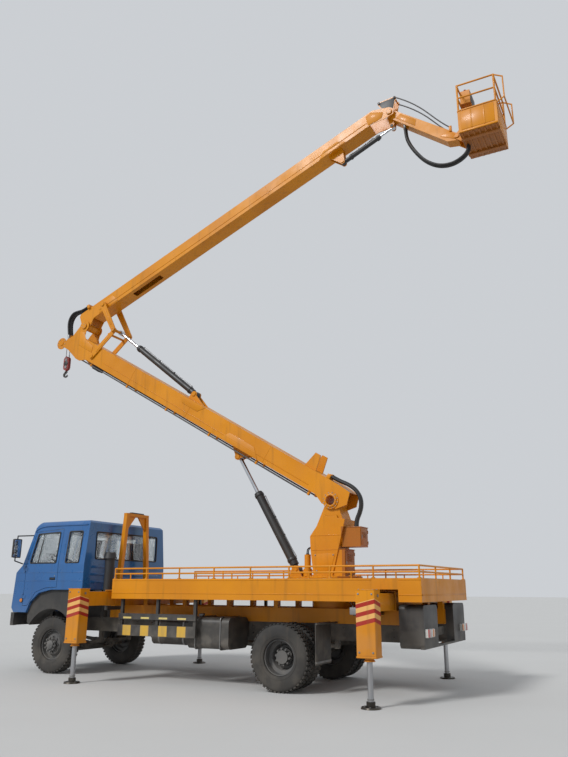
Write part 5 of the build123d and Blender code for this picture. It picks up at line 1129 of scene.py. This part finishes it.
def upperTrim():
    half, out = arms["upperHalf"], (0, 1, 0)
    parts = seamsAndPatches("upper", half, lambda x: edgeAt("upperHigh", x), lambda x: edgeAt("upperLow", x),
                            0.006)
    lip = ((0.45, 0.078), (7.30, 0.078), (7.30, 0.092), (0.45, 0.092))
    lip = [(x, edgeAt("upperLow", x) + rise) for x, rise in lip]
    parts.append(plate(lip, half - 0.002, half + 0.006))
    for centre, radius, thick in (((0.6433, 0.283, 0.1577), 0.046, 0.010),
                                  ((7.755, 0.175, 0.073), 0.058, 0.012),
                                  ((6.56, 0.068, -0.175), 0.032, 0.008)):
        parts.append(discCap(centre, out, radius, thick))
    parts += boltRing((7.755, 0.187, 0.073), out, 0.040, 4, 0.006, 0.006)
    parts = bothSides(*parts)
    ends = ((0.36, -0.004), (0.42, 0.014), (0.55, 0.014), (7.10, 0.014), (7.20, 0.014), (7.26, -0.004))
    parts += [pipe([(x, y, edgeAt("upperHigh", x) + rise) for x, rise in ends], 0.010, "hoseBlack")
              for y in arms["topRuns"]]
    for index in range(8):
        x = 0.65 + index * arms["clampPitch"]
        z = edgeAt("upperHigh", x)
        parts += [block((x - 0.016, low, z - 0.002), (x + 0.016, high, z + 0.028), 0.005, "blackPaint")
                  for low, high in ((-0.128, -0.042), (0.068, 0.128))]
        parts.append(block((x + 0.10, -0.016, z - 0.002), (x + 0.128, 0.016, z + 0.050)))
    parts.append(pipe([(0.18, 0, 0.430), (0.40, 0, 0.424), (7.00, 0, edgeAt("upperHigh", 7.0) + 0.052),
                       (7.28, 0, edgeAt("upperHigh", 7.28) + 0.050)], arms["levelRod"], "darkGrey"))
    parts.append(block((7.24, -0.030, edgeAt("upperHigh", 7.24) - 0.003), (7.32, 0.030, 0.400), 0.008))
    parts += [block((0.1903, max(y - 0.024, -half - 0.045), 0.360), (0.255, y + 0.024, 0.448), 0.006)
              for y in (-0.183, -0.067)]  # feet of the thinner elbow hoses
    return parts


def rockerTrim():
    return bothSides(plate([(6.40, 0.16), (6.44, 0.17), (6.31, 0.60), (6.27, 0.59)], 0.2415, 0.246, "y",
                           0.002))


def linkTrim():
    out = (0, 1, 0)
    return bothSides(discCap((6.225, 0.289, 0.758), out, 0.044, 0.010),
                     *boltRing((6.225, 0.299, 0.758), out, 0.026, 3, 0.006, 0.006),
                     plate([(6.36, 0.815), (6.72, 1.02), (6.70, 1.05), (6.34, 0.845)], 0.2745, 0.280, "y",
                           0.002))


cylinders = {  # foot, tip, length, radius, rod's radius
    "luff_barrel": ((-0.89, 1.76), (0.2821, 3.7611), 1.53, 0.075, 0.035),
    "fold_barrel": ((1.3151, 5.0728), (3.3322, 6.6972), 1.937, 0.062, 0.032),
    "jib_barrel": ((-1.9093, 9.2906), (-2.9276, 9.733), 0.83, 0.042, 0.020),
}


def cylinderTrim(foot, tip, length, r, rod):  # seal, rings, ports and the pipe along the barrel
    way = (1, 0, 0)
    parts = [turned([(rod + 0.004, 0.0), (r - 0.004, 0.0), (r - 0.010, 0.010), (rod + 0.008, 0.014),
                     (rod + 0.004, 0.010)], (length, 0, 0), way, 40, "steelGrey")]
    for x in (length - 0.075, 0.16):
        parts.append(turned([(r - 0.002, 0.0), (r + 0.008, 0.001), (r + 0.010, 0.006), (r + 0.010, 0.044),
                             (r + 0.006, 0.050), (r - 0.002, 0.050)], (x, 0, 0), way, 40))
    parts += [roundBar((x, 0, r - 0.004), (x, 0, r + 0.024), 0.014, 6, 0.001, "steelGrey")
              for x in (0.20, length - 0.12)]
    run = ((length - 0.12, 0.022), (length - 0.14, 0.030), (length - 0.22, 0.016), (0.32, 0.012),
           (0.24, 0.024), (0.20, 0.022))
    parts.append(pipe([(x, 0, r + rise) for x, rise in run], 0.0075, "steelGrey"))
    for share in (0.35, 0.65):
        x = 0.2 + (length - 0.32) * share
        parts.append(block((x - 0.010, -0.014, r - 0.002), (x + 0.010, 0.014, r + 0.022), 0.003))
    along = Vector((tip[0] - foot[0], 0, tip[1] - foot[1])).normalized()
    up = Vector((-along.z, 0, along.x)) * (1 if along.x > 0 else -1)
    for part in parts:
        part.data.transform(turnedFrame((foot[0], 0, foot[1]), along, up))
    return parts


finishPiece("lowerArmTrim", lowerTrim(), "lower_arm_body", frameName="lower")
finishPiece("upperArmTrim", upperTrim(), "upper_arm_body", frameName="upper")
finishPiece("rockerTrim", rockerTrim(), "rocker_body", frameName="lower")
finishPiece("linkTrim", linkTrim(), "link_body", frameName="lower")
for name, facts in cylinders.items():
    finishPiece(f"{name}_trim", cylinderTrim(*facts), f"{name}_body", "blackPaint")
print("arms done")

# jib, basket and hook
work = {
    "x": (-4.88, -4.22), "half": 0.425, "floor": 8.90, "panelTop": 9.35, "bars": 7, "skids": (-0.25, 0.25),
    "box": ((-4.41, -4.238), 0.19, (9.632, 9.895)), "levers": 5, "pivot": (-4.1192, 0.134, 9.0747),
    "knuckle": (-2.9197, 9.9753), "plateY": 0.098, "lug": (-2.9276, 0.0685, 9.733), "hookX": 4.8585,
    "block": (6.079, 6.399), "cheek": 0.034,
    "doublers": (((0.16, -0.050), (0.62, -0.062), (0.56, 0.050), (0.20, 0.058)),
                 ((1.20, -0.10), (1.52, -0.045), (1.52, 0.035), (1.28, 0.045))),
}


def jibTrim():
    (kx, kz), wall, out = work["knuckle"], work["plateY"], (0, 1, 0)
    dark = [(kx - 0.045, kz + 0.055), (kx + 0.055, kz - 0.02), (kx + 0.222, kz + 0.285),
            (kx + 0.205, kz + 0.305), (kx - 0.085, kz + 0.328), (kx - 0.105, kz + 0.31)]
    rod = [(kx - 0.095, 0.116, kz + 0.320), (kx - 0.45, 0.116, kz + 0.085), (-3.90, 0.112, 9.385),
           (-4.01, 0.104, 9.300)]
    return bothSides(plate(dark, wall - 0.001, wall + 0.005),
                     *[discCap((kx + dx, wall + 0.012, kz + dz), out, 0.026, 0.010)
                       for dx, dz in ((0.215, 0.295), (-0.095, 0.320))],
                     discCap(work["lug"], out, 0.030, 0.008), pipe(rod, 0.011),
                     block((-4.035, 0.094, 9.215), (-3.985, 0.120, 9.325), 0.006, "amber"))


def basketPanels():
    (x0, x1), half, low, top = work["x"], work["half"], work["floor"], work["panelTop"]
    parts = [block((x0 + 0.05, half - 0.001, low + 0.05), (x1 - 0.05, half + 0.005, top - 0.04)),
             block((x0 + 0.01, half - 0.002, top - 0.020), (x1 - 0.01, half + 0.010, top + 0.004)),
             block((x0 + 0.01, half - 0.002, low + 0.002), (x1 - 0.01, half + 0.008, low + 0.030)),
             discCap(work["pivot"], (0, 1, 0), 0.040, 0.010)]
    parts += [block((x - 0.012, half + 0.004, low + 0.05), (x + 0.012, half + 0.011, top - 0.04))
              for x in (x0 + 0.22, x1 - 0.22)]
    parts = bothSides(*parts)
    for x, way in ((x0, -1), (x1, 1)):
        parts.append(block((x - way * 0.001, -half + 0.05, low + 0.05),
                           (x + way * 0.005, half - 0.05, top - 0.04)))
        parts.append(block((x - way * 0.002, -half + 0.01, top - 0.020),
                           (x + way * 0.010, half - 0.01, top + 0.004)))
    return parts


def basketUnderside():
    (x0, x1), half, low = work["x"], work["half"], work["floor"]
    parts = [block((x0 + 0.005, -half + 0.005, low - 0.004), (x1 - 0.005, half - 0.005, low - 0.0005), 0)]
    for index in range(work["bars"]):
        x = x0 + 0.045 + index * (x1 - x0 - 0.09) / (work["bars"] - 1)
        parts.append(block((x - 0.016, -half + 0.02, low - 0.020), (x + 0.016, half - 0.02, low + 0.001)))
    parts += [block((x0 + 0.002, y - 0.032, low - 0.042), (x1 - 0.002, y + 0.032, low - 0.006), 0.005)
              for y in work["skids"]]
    return parts


def controlBox():
    (x0, x1), half, (z0, z1) = work["box"]
    x, up = (x0 + x1) / 2, (0, 0, 1)
    parts = [block((x0 - 0.004, -half + 0.02, z0 + 0.03), (x0 + 0.002, half - 0.02, z1 - 0.03), 0.006,
                   steps=3),
             block((x0 + 0.012, -half + 0.015, z1 - 0.002), (x1 - 0.012, half - 0.015, z1 + 0.006), 0.005,
                   steps=3)]
    for index in range(work["levers"]):
        y = -0.13 + index * 0.055
        parts.append(turned([(nearAxis, 0.016), (0.008, 0.012), (0.016, 0.0), (0.019, 0.0),
                             (nearAxis, -0.002)], (x, y, z1 + 0.006), up, 20, "blackPlastic"))
        parts.append(roundBar((x, y, z1 + 0.01), (x - 0.008, y, z1 + 0.062), 0.0045, 10, 0, "steelGrey"))
        parts.append(turned([(nearAxis, -0.012), (0.008, -0.009), (0.012, 0.0), (0.008, 0.009),
                             (nearAxis, 0.012)], (x - 0.009, y, z1 + 0.068), up, 18, "blackPlastic"))
    stop = [(nearAxis, 0.034), (0.014, 0.032), (0.022, 0.024), (0.020, 0.018), (0.010, 0.014), (0.010, 0.0)]
    parts.append(knob(stop, (x, 0.155, z1 + 0.005), up, 24, "lampRed"))
    return parts + boltsOn([(x0 - 0.004, y, z) for y in (-half + 0.03, half - 0.03)
                            for z in (z0 + 0.05, z1 - 0.05)], (-1, 0, 0), 0.005, 0.004)


def hookTrim():
    x, (low, top), cheek, out = work["hookX"], work["block"], work["cheek"], (0, 1, 0)
    middle = (low + top) / 2
    wall = [(x - 0.045, low + 0.11), (x + 0.045, low + 0.11), (x + 0.060, middle), (x + 0.045, top - 0.11),
            (x - 0.045, top - 0.11), (x - 0.060, middle)]
    parts = [plate(wall, cheek - 0.001, cheek + 0.006, "y", 0.003, "blackPaint")]
    for z in (top - 0.075, low + 0.075):
        parts.append(discCap((x, cheek, z), out, 0.034, 0.010))
        parts += boltRing((x, cheek, z), out, 0.052, 6, 0.006, 0.006)
    parts = bothSides(*parts)
    parts.append(turned([(0.0225, 0.0), (0.032, 0.002), (0.034, 0.016), (0.028, 0.026), (0.0225, 0.026)],
                        (x, 0, low - 0.044), (0, 0, 1), 32, "darkGrey"))
    parts.append(pipe([(x + 0.004, 0, low - 0.052), (x - 0.030, 0, low - 0.075), (x - 0.042, 0, low - 0.110)],
                       0.004))
    parts += [turned([(0.007, -0.012), (0.012, -0.010), (0.012, 0.010), (0.007, 0.012)], (x + dx, 0, z),
                     (0, 0, 1), 16) for z in (top - 0.02, top + 0.02) for dx in (-0.048, 0.048)]
    return parts


finishPiece("jibTrim", jibTrim(), "jib_body", "darkGrey")
seams = [plate(outline, 0.0995, 0.105) for outline in work["doublers"]]
finishPiece("jibSeams", bothSides(*seams), "jib_body", frameName="jib")
finishPiece("basketPanels", basketPanels(), "basket_body")
finishPiece("basketUnderside", basketUnderside(), "basket_body", "rustOrange")
finishPiece("controlBox", controlBox(), "basket_body", "darkGrey")
finishPiece("hookTrim", hookTrim(), "hook_body", "steelGrey")
print("basket and hook done")

# free hoses
hoses = {
    "basketHose": {"node": "basket_hose", "body": "jib_body", "length": 1.875, "points": [
        (-3.17, 0, 9.6097), (-3.17, 0, 9.45), (-3.23, 0, 9.26), (-3.345, 0, 9.04), (-3.515, 0, 8.805),
        (-3.73, 0, 8.645), (-3.96, 0, 8.6), (-4.165, 0, 8.668), (-4.282, 0, 8.79), (-4.282, 0, 8.8994)]},
    "elbowHose": {"node": "elbow_hose", "body": "lower_arm_body", "length": 0.980, "points": [
        (4.2068, 0.125, 7.4133), (4.3362, 0.125, 7.36), (4.4977, 0.125, 7.3583), (4.6209, 0.125, 7.3421),
        (4.7082, 0.125, 7.2521), (4.7441, 0.125, 7.1161), (4.7248, 0.125, 6.9618), (4.6964, 0.125, 6.8221)]},
    "columnHose": {"node": "column_hose", "body": "turret_body", "length": 1.114, "points": [
        (-1.6256, 0.13, 3.2487), (-1.7457, 0.13, 3.1768), (-1.8938, 0.13, 3.1127), (-2.0237, 0.13, 3.028),
        (-2.1087, 0.13, 2.9071), (-2.1294, 0.13, 2.7665), (-2.0953, 0.13, 2.6355), (-2.0303, 0.13, 2.5112),
        (-2.031, 0.13, 2.4104)]},
}
hoseDiameter, thinDiameter = 0.068, 0.040
thinHoses = {  # thinner hoses beside the thick ones: which hose they follow, how far aside they start and end
    "columnHoseNear": ("columnHose", -0.056, -0.056), "columnHoseFar": ("columnHose", 0.056, 0.005),
    "elbowHoseNear": ("elbowHose", -0.058, -0.058), "elbowHoseFar": ("elbowHose", 0.058, 0.058),
    "basketHoseNear": ("basketHose", 0.060, 0.060),
}


def layHose(name, facts, points, diameter, node=None):
    hose = runCurve(name, points, diameter / 2, smooth=6, steps=16)
    painted(hose, "hoseBlack")
    if node:
        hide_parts(node)
    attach(hose, facts["body"])


for name, facts in hoses.items():
    layHose(name, facts, facts["points"], hoseDiameter, facts["node"])
for name, (beside, first, last) in thinHoses.items():
    places = hoses[beside]["points"]
    points = [(x, y + first + (last - first) * index / (len(places) - 1), z)
              for index, (x, y, z) in enumerate(places)]
    layHose(name, hoses[beside], points, thinDiameter)

# sockets of the thinner hoses
before, end = (Vector(point) for point in hoses["elbowHose"]["points"][-2:])
way = (end - before).normalized()
starts = [end + Vector((0, thinHoses[name][2], 0)) for name in ("elbowHoseNear", "elbowHoseFar")]
sockets = [roundBar(start - way * 0.012, start + way * 0.13, 0.026, 20, 0.004) for start in starts]
finishPiece("elbowGlands", sockets, "lower_arm_body", "steelGrey")
x, y, z = hoses["basketHose"]["points"][0]
y += thinHoses["basketHoseNear"][1]
socket = roundBar((x, y, z - 0.012), (x, y, z + 0.09), 0.025, 20, 0.004)
finishPiece("basketGland", [socket], "jib_body", "steelGrey")
print("hoses", len(hoses) + len(thinHoses))
